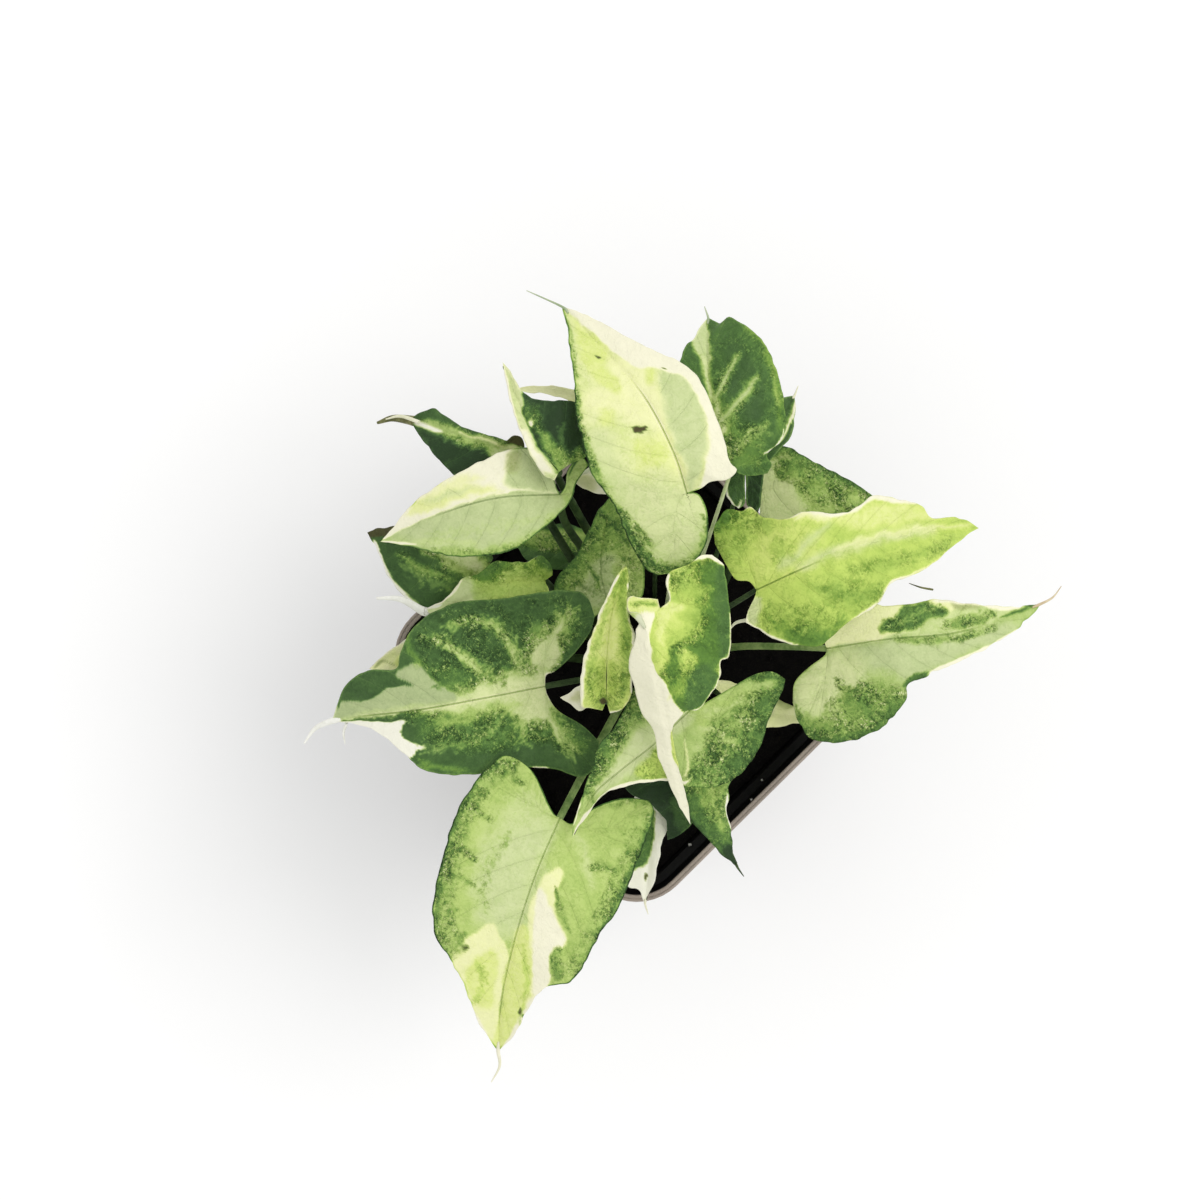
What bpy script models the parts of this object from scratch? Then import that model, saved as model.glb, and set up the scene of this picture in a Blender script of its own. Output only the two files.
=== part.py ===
"""Arrowhead plant with variegated leaves, growing in a square nursery pot.

Frame: origin at the middle of the pot's base, +Z up, pot sides along X and Y, metres.
The leaves are laid out in millimetres on a chart, the plant as an eye straight above it sees it:
chart x to the right, chart y up, zero over the middle of the pot, heights counted from the pot's rim.
"""
import math

import bmesh
import bpy
import numpy as np
from mathutils import Matrix, Vector

MM = 0.001

# Pot
POT_HEIGHT = 90 * MM
RIM_HALF = 51.0 * MM          # half of the outer width at the rim
RIM_FACE = 1.9 * MM           # width of the rim's flat top
LIP_DROP = 2.0 * MM           # height of the thin lip at the very top
LIP_OUT = 0.8 * MM            # how far the lip stands out from the band
BAND_DROP = 13.0 * MM         # height of the thick band under the rim
BAND_HALF = 49.7 * MM         # half width at the band's lower edge
BODY_HALF = 47.6 * MM         # half width of the body just under the band
BASE_HALF = 37.0 * MM         # half width at the base
LEDGE_DROP = 12.0 * MM        # depth of the inner ledge under the rim
LEDGE_HALF = 46.4 * MM        # half width inside the ledge
LEDGE_SLOPE = 1.2 * MM        # height the ledge falls over its width
BAND_SLOPE = 0.6 * MM         # the same for the step under the band and under the lip
INSIDE_TAPER = 0.5 * MM       # inner wall's draft above the ledge
EDGE = 0.35 * MM              # chamfer round the rim
FOOT_EDGE = 0.8 * MM          # chamfer round the base
WALL = 1.2 * MM
FLOOR = 2.0 * MM
RIM_CORNER = 15.4 * MM        # corner radius at the rim
BAND_CORNER = 14.4 * MM
BODY_CORNER = 12.4 * MM
LEDGE_CORNER = 10.8 * MM
BASE_CORNER = 11.0 * MM       # corner radius at the base
CORNER_STEPS = 6
DRAIN_RADIUS = 4.0 * MM
DRAIN_OUT = 24.0 * MM         # drain hole middles from the pot's axes
DRAIN_SIDES = 12
CUT_PAST = 2.0 * MM           # how far a cutter runs past the face it cuts
GAP = 0.3 * MM                # clearance between pieces that touch

# Soil
SOIL_DROP = 16.0 * MM         # soil level under the rim
SOIL_CROWN = 1.6 * MM         # rise of the soil toward its middle
SOIL_STEPS = (0.75, 0.5)      # rings of the crown, as shares of the soil's half width
ROOT_DEPTH = 11.0 * MM        # depth of the hole each leaf stalk stands in
HOLE_SIDES = 8

# Chart the leaves are laid out on
CHART_TURN = math.radians(45.3)
EYE_X, EYE_Y, EYE_UP = -10.2, 15.8, 800.0

# Leaves
BLADE_THICK = 0.8 * MM
STALK_FOOT = 1.3 * MM         # stalk radius at the soil
STALK_NECK = 0.95 * MM        # stalk radius where the blade begins
RIB_END = 0.42 * MM           # midrib radius at the tip
TAIL_END = 0.35 * MM
STALK_SIDES = 6
RIB_COVER = 0.12 * MM         # how far the midrib's back lies inside the blade's top face
RIB_TAPER = 0.7               # power of the midrib's taper
BACK_LEAST = 0.8              # an outline reaching less than this behind the base has no back lobe
WAVE_TURN = 14                # radians of the margin's wave from the back lobe to the tip
WAVE_FULL = 8                 # a half this wide, in chart millimetres, carries the whole wave
CURVE_STEPS = 12              # points on a smooth curve between two of its marks
MERGE = 0.01 * MM             # blade corners nearer than this are one
LARGE_FROM = 40               # midribs longer than this on the chart get the finer grid
LARGE_GRID = (11, 3, 3, 8)    # rows ahead of the base, rows behind it, columns, stalk steps
SMALL_GRID = (6, 2, 2, 6)

# One entry a leaf. rib: base to tip (x, y, height). left, right: outline of each half, from the base
# round the back lobe to the tip. stalk: where it leaves the soil (x, y), then points on its way up.
# fold: rise beside the midrib, sag: fall toward the margin, drop: fall of the back lobes,
# wave: height of the margin's waves. tail: the thin point past the tip.
LEAVES = {
    "leaf_01": dict(
        rib=[(13.3, 44.5, 80), (9.5, 56, 84), (1.5, 71, 82), (-10, 84, 76), (-20.5, 95, 68)],
        left=[(16.5, 44.2), (18.6, 40), (19, 34), (18, 30), (15, 26), (9, 22.8), (4, 23), (0.5, 26.5),
              (-3, 33), (-6, 40.5), (-10, 46.5), (-12.5, 50), (-14.5, 57), (-16.5, 65), (-17, 74),
              (-18, 82), (-19.5, 91)],
        right=[(16.5, 45.8), (20.5, 48), (24, 48.3), (26.5, 50.6), (24.5, 53.5), (23.3, 59),
               (20.5, 67), (16.5, 75.5), (11, 80), (4, 83.3), (-6, 88.5), (-14, 92.8)],
        tail=[(-30, 99.3, 64)],
        stalk=[(8, 10), (9, 18, 35), (11.5, 36, 68)], fold=0.10, sag=0.006, drop=0.25, wave=0.5),
    "leaf_02": dict(
        rib=[(25.5, 51.5, 66), (21.5, 62, 69), (19, 74, 68), (18.5, 84, 64), (19, 92, 58)],
        left=[(23.5, 48.6), (18.5, 48.3), (14, 53.5), (12, 62), (11, 70), (11, 78), (11.8, 82), (13.3, 85),
              (15, 86), (16.3, 89)],
        right=[(27.5, 49.8), (31, 49.3), (35, 50), (36.2, 52.5), (34.8, 55), (38, 58), (39.6, 62),
               (39.6, 69), (38, 75.5), (36, 81.5), (33, 86.5), (28, 90.5), (24.5, 92.3), (22, 90.5)],
        tail=[(18, 95, 56)],
        stalk=[(12, 13), (15.5, 22, 36), (21, 38, 58)], fold=0.12, sag=0.008, drop=0.2, wave=0.6),
    "leaf_03": dict(
        rib=[(29, 52, 54), (35, 60.5, 56), (39.5, 67, 53), (42.3, 71, 49)],
        left=[(28.2, 47), (26.8, 40.7), (24.3, 44), (24.2, 50), (26, 58), (31, 65), (37.5, 70)],
        right=[(29.5, 47), (31, 48.5), (35, 52.5), (40, 58), (41.8, 62), (42.4, 67)],
        tail=[(43.3, 73.6, 47)],
        stalk=[(16, 14.5), (20.5, 26, 30), (26, 42, 47)], fold=0.05, sag=0.006, drop=0.1, wave=0.3),
    "leaf_04": dict(
        rib=[(33.5, 45.5, 44), (44, 47, 47), (56, 45, 45), (65.5, 42, 40)],
        left=[(32.2, 47.5), (32.4, 51), (35.5, 55.5), (39, 57.2), (44, 55.3), (50, 51.8), (57, 48.3),
              (62, 44.8)],
        right=[(33, 42), (33, 38), (38, 34.5), (46, 35), (55, 38), (61, 40)],
        stalk=[(18, 9.5), (24, 22, 24), (30.5, 37, 38)], fold=0.08, sag=0.008, drop=0.1, wave=0.4),
    "leaf_05": dict(
        rib=[(32, 18.5, 66), (45, 24.5, 70), (60, 30.5, 67), (77, 34, 59), (92, 35.2, 48)],
        left=[(30, 20.8), (26.5, 21.3), (24, 25), (20.8, 31), (20.8, 35.5), (24, 40.3), (27.5, 39.8),
              (30.5, 40.9), (33.5, 38.3), (40, 37.8), (45, 39.8), (53, 39.2), (58.5, 40.3),
              (63.5, 43.8), (70, 43), (76.5, 41.3), (79.5, 38), (87.5, 37.8)],
        right=[(31.5, 16.5), (29.8, 13), (29, 9.8), (32.5, 7.8), (37.5, 5), (43, 3.7), (49, 3.2),
               (52, 5.5), (57, 10), (62, 13), (65.5, 15.5), (68.5, 20.3), (74, 22.5), (80, 26),
               (85.5, 30.5), (89, 33.6)],
        stalk=[(13, 5.5), (20, 11, 42)], fold=0.12, sag=0.006, drop=0.15, wave=0.9),
    "leaf_06": dict(
        rib=[(51, 2.7, 50), (68, 5.3, 55), (85, 6.8, 52), (98, 10.5, 46), (108.7, 14.7, 40)],
        left=[(50, 6), (50.5, 10.5), (55, 13.5), (62, 14.6), (71, 14.6), (80, 16.2), (90, 14.9),
              (99, 13.8), (105, 14.2)],
        right=[(50.3, 0.8), (46, -2.5), (42.3, -6.5), (41.8, -12), (43.5, -18), (47.5, -22.2),
               (55, -22.3), (62, -20.6), (68.5, -16), (72.6, -10.5), (73, -7), (79, -4.2), (85.5, -1),
               (91.5, 1.5), (97, 4.7), (102.5, 8), (107, 12.3)],
        tail=[(112, 16.5, 38), (114.3, 19.5, 37)],
        stalk=[(16, 1.5), (27, 3.2, 24), (40, 3.2, 42)], fold=0.10, sag=0.006, drop=0.2, wave=0.6),
    "leaf_07": dict(
        rib=[(-25, -7.5, 48), (-42, -10.8, 52), (-60, -14, 48), (-74, -15.5, 41), (-82.5, -16.8, 36)],
        left=[(-24.3, -10), (-21.5, -14), (-15, -18), (-10.5, -22.3), (-10.8, -27), (-14.5, -32),
              (-21, -30.3), (-30, -29.3), (-40, -31), (-50, -31.4), (-57, -30.3), (-63, -26),
              (-68, -21.3), (-75, -18)],
        right=[(-24.7, -4.5), (-22, -3.2), (-17, 1.5), (-13, 7), (-11.6, 11.5), (-14, 17),
               (-20, 18.5), (-28, 17.6), (-37, 16.2), (-46, 15.6), (-54, 13.3), (-60.5, 8.5),
               (-64.2, 1.5), (-65.5, -2.8), (-72, -3), (-77, -5.2), (-80.3, -10)],
        tail=[(-87, -18.8, 33), (-90, -22.8, 31)],
        stalk=[(-7.5, -4.5), (-14, -5.5, 34)], fold=0.12, sag=0.006, drop=0.1, wave=0.4),
    "leaf_08": dict(
        rib=[(-21, -43, 56), (-27.5, -58, 59), (-33, -75, 54), (-36.8, -92, 44), (-37.7, -106, 34)],
        left=[(-18, -44.5), (-15, -42), (-9, -39), (-3, -37.6), (3, -38.2), (4.3, -41.5), (1.8, -50),
              (-2, -59.5), (-5, -67), (-10.5, -74.8), (-14, -81.5), (-18, -87), (-24, -88.6),
              (-28.5, -92.5), (-33, -101)],
        right=[(-22.5, -42), (-24.2, -39), (-28, -31), (-32.5, -27), (-36.5, -26.3), (-41, -30),
               (-46.5, -37), (-50.2, -45), (-53, -55), (-55.1, -64), (-54.8, -74), (-51, -80.5),
               (-47, -88), (-43.5, -97), (-40, -103)],
        tail=[(-37.3, -110, 31), (-39.5, -114.3, 29)],
        stalk=[(-2.5, -8.5), (-8, -18.5, 26), (-15.5, -32.5, 41)], fold=0.10, sag=0.006, drop=0.1,
        wave=0.6),
    "leaf_09": dict(
        rib=[(14, -14, 66), (4.5, -23, 68), (-5, -30.5, 66), (-12.3, -37.3, 64), (-17.8, -48.5, 61)],
        left=[(18, -12), (25, -8), (31, -4.5), (36, -3.5), (39.8, -5.5), (39, -9), (36, -15),
              (34, -21), (32, -26), (28, -31), (23, -34), (17, -35), (12.5, -34.2), (8, -33),
              (0, -33.8), (-6, -35.2), (-9.7, -37.2), (-13, -41.3), (-16, -45.5)],
        right=[(11, -11), (5, -8), (0, -7), (-2.6, -11), (-5.5, -17.5), (-10, -22.5), (-12.3, -29.5),
               (-14.7, -36), (-17, -43.5)],
        stalk=[(8, -5), (11, -9, 38)], fold=0.12, sag=0.008, drop=0.15, wave=0.5),
    "leaf_10": dict(
        rib=[(6, 13.5, 90), (3.7, 4, 93), (5.5, -6, 90), (8, -18, 82), (11, -32, 72),
             (14.2, -44.8, 62)],
        left=[(8.6, 16), (7.6, 20.5), (9, 23.5), (14, 25.5), (17, 27.8), (20, 28), (23, 25.3), (24, 20),
              (25, 12), (25.2, 4), (24.5, 0.5), (22.4, -0.5), (22.3, -5), (19.5, -10), (16.5, -13.7),
              (13, -14.5), (9.3, -18.5), (9.5, -24), (11.6, -32), (13.4, -39)],
        right=[(5.4, 16), (2, 16.4), (-2.5, 16.5), (-2.5, 13), (0.2, 12), (-0.5, 7), (-2.6, -2),
               (-1, -7), (0.5, -13.5), (4, -19), (5.5, -26), (8.5, -34), (12, -41)],
        stalk=[(4.5, 5.5), (5.5, 8, 45)], fold=-0.1, sag=0.012, drop=0.15, wave=0.3),
    "leaf_11": dict(
        rib=[(-8.5, -11.5, 68), (-8.3, 0, 77), (-7, 12, 84), (-3.2, 24.8, 89)],
        left=[(-9.5, -14), (-13, -13.4), (-15.3, -12.5), (-15.2, -7), (-14.3, 0), (-12.5, 5.5),
              (-10.8, 10), (-8.5, 16), (-5.8, 21.5)],
        right=[(-7.5, -14.8), (-4, -13.5), (-2, -10), (-1.6, -5), (-1.8, 0), (-1, 6), (-2.5, 11),
               (-3, 17), (-2.6, 21)],
        stalk=[(-4, -2), (-6.5, -7, 40)], fold=0.5, sag=0.01, drop=0.5, wave=0.1),
    "leaf_12": dict(
        rib=[(-21, 44.3, 66), (-38, 43.3, 69), (-54, 38.7, 64), (-69.5, 31.5, 54)],
        left=[(-19.5, 46.8), (-18.9, 51), (-15.5, 54.6), (-13.2, 52.3), (-16.5, 47.5), (-18.5, 42),
              (-23, 37.5), (-29, 32.3), (-35, 29), (-43, 27.6), (-52, 27.9), (-60, 29.8),
              (-66, 31.2)],
        right=[(-22, 46.3), (-23.6, 50), (-26.5, 55.5), (-32, 56.8), (-40, 54.5), (-48, 50.3),
               (-55, 46), (-61, 41.5), (-66, 35.5)],
        stalk=[(-3, 9.5), (-11, 24, 18), (-19.5, 36.5, 42)], fold=0.08, sag=0.006, drop=-0.3,
        wave=0.4),
    "leaf_13": dict(
        rib=[(-31, 55, 56), (-42, 58, 58), (-53, 61.5, 55), (-61, 64.3, 50)],
        left=[(-31, 51.5), (-37, 50), (-44, 50.5), (-48.8, 49), (-54, 54), (-59.8, 61.3)],
        right=[(-31.5, 57), (-38, 59.8), (-46, 62), (-51, 64.8), (-55, 67.4), (-59.5, 66)],
        tail=[(-66, 64.8, 47), (-71, 63.6, 45)],
        stalk=[(-7, 12), (-16, 24, 14), (-26, 41, 38)], fold=0.2, sag=0.012, drop=0.1, wave=0.4),
    "leaf_14": dict(
        rib=[(-21.3, 50.3, 74), (-26.5, 57, 77), (-31, 66, 74), (-36.5, 80, 64)],
        left=[(-22.5, 48), (-25.5, 49.8), (-28.5, 54), (-31, 59.5), (-33.2, 65.5), (-35, 73)],
        right=[(-18.5, 52.7), (-15.3, 55.2), (-15.3, 57), (-17.2, 61.5), (-18.3, 68), (-21.5, 69.4),
               (-26, 69.8), (-29.5, 71), (-32, 73), (-34.3, 77)],
        stalk=[(1, 12), (-5.5, 25, 16), (-12.5, 33, 26), (-18, 42.5, 46), (-21.6, 49, 62)],
        fold=0.1, sag=0.01, drop=0.1, wave=0.4),
    "leaf_15": dict(
        rib=[(2, 58, 60), (-9, 65, 63), (-18.5, 70.8, 61), (-26, 72.4, 59), (-33.5, 72.6, 56)],
        left=[(2, 54), (-4, 53), (-9, 56), (-14, 62.5), (-18.5, 69.2), (-25, 71.4), (-30, 72)],
        right=[(3, 62), (-3, 68), (-10, 71.5), (-17, 72.6), (-24, 73.7), (-30, 73.4)],
        stalk=[(4.5, 14.5), (4.5, 26, 36), (3, 45, 54)], fold=0.05, sag=0.008, drop=0.1, wave=0.3),
    "leaf_16": dict(
        rib=[(-44, 22, 28), (-53, 26.5, 31), (-63, 31, 30), (-73, 34, 27)],
        left=[(-44.5, 19.5), (-48, 15.5), (-55.5, 12), (-62, 15.8), (-67, 21.5), (-70, 28.5)],
        right=[(-41.5, 23), (-39, 27), (-41, 32), (-48, 35.5), (-57, 37), (-65, 36), (-69.5, 35.2)],
        stalk=[(-11.5, 5), (-25, 12.5, 12)], fold=0.12, sag=0.01, drop=0.1, wave=0.4),
    "leaf_17": dict(
        rib=[(-25, 21, 37), (-36, 20, 41), (-48, 15, 40), (-58, 12.8, 37)],
        left=[(-24, 17), (-26, 12), (-34, 8), (-44, 8.5), (-52, 11)],
        right=[(-23, 22.5), (-23.3, 25.5), (-26, 27.7), (-30, 26), (-35, 26.2), (-39, 26),
               (-43, 22.8), (-47.5, 21.3), (-51, 16.8), (-55, 14.6)],
        tail=[(-64, 16, 36), (-70.5, 16.3, 35)],
        stalk=[(-7.5, 1.5), (-14, 9, 20)], fold=0.1, sag=0.01, drop=0.1, wave=0.6),
    "leaf_18": dict(
        rib=[(-8, 14, 36), (-10, 24, 39), (-9, 34, 38), (-7, 44, 34)],
        left=[(-12, 11), (-20, 14), (-22.8, 19), (-20, 24), (-16, 28.5), (-13.5, 34), (-10.5, 40)],
        right=[(-5, 12.5), (0.5, 16), (2, 23), (0, 32), (-3, 39)],
        stalk=[(-3.5, 4.5), (-6, 9, 22)], fold=0.08, sag=0.01, drop=0.1, wave=0.4),
    "leaf_19": dict(
        rib=[(-14, 28, 5), (-24, 29, 8), (-33, 31, 6)],
        left=[(-14, 25.5), (-20, 24.5), (-28, 27)],
        right=[(-15, 31), (-22, 33.5), (-29, 33)],
        stalk=[(-11.5, 9.5), (-12.5, 17, -6)], fold=0.1, sag=0.01, drop=0.1, wave=0.2),
    "leaf_20": dict(
        rib=[(-45, 6, 32), (-55, 5, 35), (-64, 1.5, 33), (-72.5, -2.7, 29)],
        left=[(-46, 3), (-54, -2), (-62, -4.5), (-68, -4.5)],
        right=[(-45, 9), (-52, 9.8), (-59, 7.5), (-64.3, 4.2), (-68.5, 1)],
        stalk=[(-11.5, -0.5), (-26, 1.5, 12)], fold=0.1, sag=0.01, drop=0.1, wave=0.2),
    "leaf_21": dict(
        rib=[(19, -26, 38), (20.5, -36, 41), (22.5, -46, 37), (27, -56.5, 29)],
        left=[(22, -25), (27, -26), (27, -30), (24.3, -34.5), (24.5, -37.5), (23.8, -41),
              (25.2, -46.5), (25.6, -51.5)],
        right=[(16, -25), (12, -28), (11.5, -34), (13.2, -40.5), (15, -44.8), (18.5, -48.5),
               (22.5, -52.8)],
        tail=[(28.6, -58.8, 27)],
        stalk=[(9, -10), (14, -18, 18)], fold=0.12, sag=0.012, drop=0.1, wave=0.3),
    "leaf_22": dict(
        rib=[(8, -22, 28), (9, -32, 31), (9.5, -41, 29), (8, -49, 25)],
        left=[(11, -22), (16, -27), (17, -36), (15, -44), (10.8, -47.7)],
        right=[(4.5, -22), (-1, -27), (-4, -33), (-1, -37), (4, -39.7), (7.5, -44)],
        stalk=[(4, -9), (6, -15, 12)], fold=0.05, sag=0.01, drop=0.1, wave=0.2),
    "leaf_23": dict(
        rib=[(4, -34, 20), (3.8, -45, 23), (2.8, -56, 20), (2, -66.3, 15)],
        left=[(6, -33), (8.5, -38), (8.2, -45), (6.5, -49.5), (5.7, -54), (4.4, -60.5), (2.8, -63.5)],
        right=[(1.5, -33), (-1, -38), (-0.5, -46), (-2, -54), (-3.2, -60.8), (0.3, -62.6)],
        tail=[(2.8, -69, 14)],
        stalk=[(0, -12.5), (2, -21, 6)], fold=0.1, sag=0.01, drop=0.1, wave=0.2),
    "leaf_24": dict(
        rib=[(30, -14, 34), (37, -15, 36), (44, -15.5, 34), (50, -15, 30)],
        left=[(31, -11), (37.5, -11), (42.5, -12.8), (48, -13)],
        right=[(31, -17), (35.5, -18.7), (42, -17.6), (48, -17.2)],
        stalk=[(14, -4.5), (22, -9, 18)], fold=0.05, sag=0.01, drop=0.1, wave=0.2),
    "leaf_25": dict(
        rib=[(-12, -8, 50), (-16, -10.3, 52), (-21, -10.5, 51)],
        left=[(-12.5, -11.5), (-15.6, -14), (-18, -12.3)],
        right=[(-12.5, -6), (-15.8, -7.3), (-18.8, -9.3)],
        stalk=[(-9.5, -8.5), (-10.5, -8.8, 30)], fold=0.1, sag=0.01, drop=0.1, wave=0.0),
}

# Colours and finish, one for the pot, the soil and each leaf's overall shade
POT_LOOK = ((0.085, 0.07, 0.062), 0.42)
SOIL_LOOK = ((0.012, 0.009, 0.007), 0.95)
CREAM = (0.80, 0.72, 0.50)
PALE = (0.50, 0.62, 0.28)
YELLOW = (0.42, 0.58, 0.12)
GREEN = (0.18, 0.36, 0.09)
DARK = (0.035, 0.10, 0.03)
LEAF_SHADES = {
    "leaf_01": PALE, "leaf_02": DARK, "leaf_03": DARK, "leaf_04": GREEN, "leaf_05": YELLOW,
    "leaf_06": PALE, "leaf_07": DARK, "leaf_08": PALE, "leaf_09": GREEN, "leaf_10": YELLOW,
    "leaf_11": YELLOW, "leaf_12": PALE, "leaf_13": DARK, "leaf_14": DARK, "leaf_15": CREAM,
    "leaf_16": DARK, "leaf_17": YELLOW, "leaf_18": GREEN, "leaf_19": DARK, "leaf_20": YELLOW,
    "leaf_21": GREEN, "leaf_22": DARK, "leaf_23": CREAM, "leaf_24": CREAM, "leaf_25": CREAM,
}


def clear_scene():
    for item in list(bpy.data.objects):
        bpy.data.objects.remove(item, do_unlink=True)


def finish(item, colour, roughness):
    material = bpy.data.materials.new(item.name)
    material.use_nodes = True
    shader = material.node_tree.nodes["Principled BSDF"]
    shader.inputs["Base Color"].default_value = (*colour, 1.0)
    shader.inputs["Roughness"].default_value = roughness
    shader.inputs["Metallic"].default_value = 0.0
    item.data.materials.clear()
    item.data.materials.append(material)


def new_item(name, mesh_builder):
    mesh = bpy.data.meshes.new(name)
    mesh_builder.to_mesh(mesh)
    mesh_builder.free()
    item = bpy.data.objects.new(name, mesh)
    bpy.context.collection.objects.link(item)
    return item


def combine(item, other, operation):
    """Apply one Boolean to item and remove the other object."""
    change = item.modifiers.new("combine", "BOOLEAN")
    change.object = other
    change.operation = operation
    change.solver = "EXACT"
    bpy.context.view_layer.objects.active = item
    bpy.ops.object.modifier_apply(modifier=change.name)
    bpy.data.objects.remove(other, do_unlink=True)


def square_ring(half, corner, height):
    """Points of a square with round corners, counterclockwise."""
    ring = []
    for quarter in range(4):
        start = quarter * math.pi / 2
        across = half - corner
        middle_x = across * (1 if quarter in (0, 3) else -1)
        middle_y = across * (1 if quarter in (0, 1) else -1)
        for step in range(CORNER_STEPS + 1):
            angle = start + math.pi / 2 * step / CORNER_STEPS
            x = middle_x + corner * math.cos(angle)
            y = middle_y + corner * math.sin(angle)
            ring.append((x, y, height))
    return ring


def lofted(name, rings):
    """Skin rings of equal count in order and close both ends."""
    builder = bmesh.new()
    loops = [[builder.verts.new(point) for point in ring] for ring in rings]
    count = len(loops[0])
    for lower, upper in zip(loops, loops[1:]):
        for side in range(count):
            following = (side + 1) % count
            builder.faces.new((lower[side], lower[following], upper[following], upper[side]))
    builder.faces.new(list(reversed(loops[0])))
    builder.faces.new(loops[-1])
    return new_item(name, builder)


def add_cylinder(builder, x, y, low, high, radius, sides):
    middle = Matrix.Translation((x, y, (low + high) / 2))
    bmesh.ops.create_cone(builder, cap_ends=True, segments=sides, radius1=radius, radius2=radius,
                          depth=high - low, matrix=middle)


def inside_ring(height, inset=0.0, shrink=1.0, rise=0.0):
    """Ring on the pot's inner wall at a height, drawn in by an inset and a share, then raised."""
    share = (height - FLOOR) / (POT_HEIGHT - LEDGE_DROP - FLOOR)
    half = BASE_HALF - WALL + (LEDGE_HALF - BASE_HALF + WALL) * share
    corner = BASE_CORNER - WALL + (LEDGE_CORNER - BASE_CORNER + WALL) * share
    return square_ring((half - inset) * shrink, (corner - inset) * shrink, height + rise)


def make_pot():
    band_low = POT_HEIGHT - BAND_DROP
    lip_low = POT_HEIGHT - LIP_DROP
    ledge = POT_HEIGHT - LEDGE_DROP
    inside = RIM_HALF - RIM_FACE
    inside_corner = RIM_CORNER - RIM_FACE
    pot = lofted("pot", [
        square_ring(BASE_HALF - FOOT_EDGE, BASE_CORNER - FOOT_EDGE, 0.0),
        square_ring(BASE_HALF, BASE_CORNER, FOOT_EDGE),
        square_ring(BODY_HALF, BODY_CORNER, band_low),
        square_ring(BAND_HALF, BAND_CORNER, band_low + BAND_SLOPE),
        square_ring(RIM_HALF - LIP_OUT, RIM_CORNER - LIP_OUT, lip_low - BAND_SLOPE),
        square_ring(RIM_HALF, RIM_CORNER, lip_low),
        square_ring(RIM_HALF, RIM_CORNER, POT_HEIGHT - EDGE),
        square_ring(RIM_HALF - EDGE, RIM_CORNER - EDGE, POT_HEIGHT),
        square_ring(inside, inside_corner, POT_HEIGHT),
        square_ring(inside - INSIDE_TAPER, inside_corner - INSIDE_TAPER, ledge + LEDGE_SLOPE),
        inside_ring(ledge),
        inside_ring(FLOOR),
    ])
    drains = bmesh.new()
    for x in (-DRAIN_OUT, DRAIN_OUT):
        for y in (-DRAIN_OUT, DRAIN_OUT):
            add_cylinder(drains, x, y, -CUT_PAST, FLOOR + CUT_PAST, DRAIN_RADIUS, DRAIN_SIDES)
    combine(pot, new_item("drains", drains), "DIFFERENCE")
    finish(pot, *POT_LOOK)


def place(x, y, height):
    """Chart position and height over the rim (millimetres) to a point in the frame (metres)."""
    share = (EYE_UP - height) / EYE_UP
    right = (EYE_X + (x - EYE_X) * share) * MM
    up = (EYE_Y + (y - EYE_Y) * share) * MM
    cosine = math.cos(CHART_TURN)
    sine = math.sin(CHART_TURN)
    return Vector((right * cosine - up * sine, right * sine + up * cosine, POT_HEIGHT + height * MM))


def root_place(leaf):
    x, y = leaf["stalk"][0]
    point = place(x, y, -SOIL_DROP / MM)
    return point.x, point.y


def make_soil():
    top = POT_HEIGHT - SOIL_DROP
    rings = [inside_ring(FLOOR, rise=GAP, inset=GAP), inside_ring(top, inset=GAP)]
    for share in SOIL_STEPS:
        rings.append(inside_ring(top, shrink=share, rise=SOIL_CROWN * (1 - share)))
    soil = lofted("soil", rings)
    holes = bmesh.new()
    for leaf in LEAVES.values():
        x, y = root_place(leaf)
        add_cylinder(holes, x, y, top - ROOT_DEPTH, top + SOIL_CROWN + CUT_PAST, STALK_FOOT + GAP,
                     HOLE_SIDES)
    combine(soil, new_item("holes", holes), "DIFFERENCE")
    finish(soil, *SOIL_LOOK)


def dense(points):
    """A smooth curve through the points, as a fine polyline."""
    points = [np.array(point, float) for point in points]
    if len(points) == 2:
        return np.linspace(points[0], points[1], CURVE_STEPS + 1)
    padded = [2 * points[0] - points[1], *points, 2 * points[-1] - points[-2]]
    curve = []
    for before, start, end, after in zip(padded, padded[1:], padded[2:], padded[3:]):
        for step in range(CURVE_STEPS):
            t = step / CURVE_STEPS
            curve.append(0.5 * (2 * start + (end - before) * t
                                + (2 * before - 5 * start + 4 * end - after) * t ** 2
                                + (3 * start - before - 3 * end + after) * t ** 3))
    curve.append(points[-1])
    return np.array(curve)


def along(curve, share):
    """The point a share of the way along a polyline, by its plan length."""
    steps = np.linalg.norm(np.diff(curve[:, :2], axis=0), axis=1)
    reach = np.concatenate([[0.0], np.cumsum(steps)])
    wanted = share * reach[-1]
    return np.array([np.interp(wanted, reach, curve[:, axis]) for axis in range(curve.shape[1])])


def plan_length(curve):
    return float(np.linalg.norm(np.diff(curve[:, :2], axis=0), axis=1).sum())


def grid_of(leaf):
    """Rows ahead, rows behind, columns and stalk steps for a leaf of this size."""
    return LARGE_GRID if plan_length(dense(leaf["rib"])) > LARGE_FROM else SMALL_GRID


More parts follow.
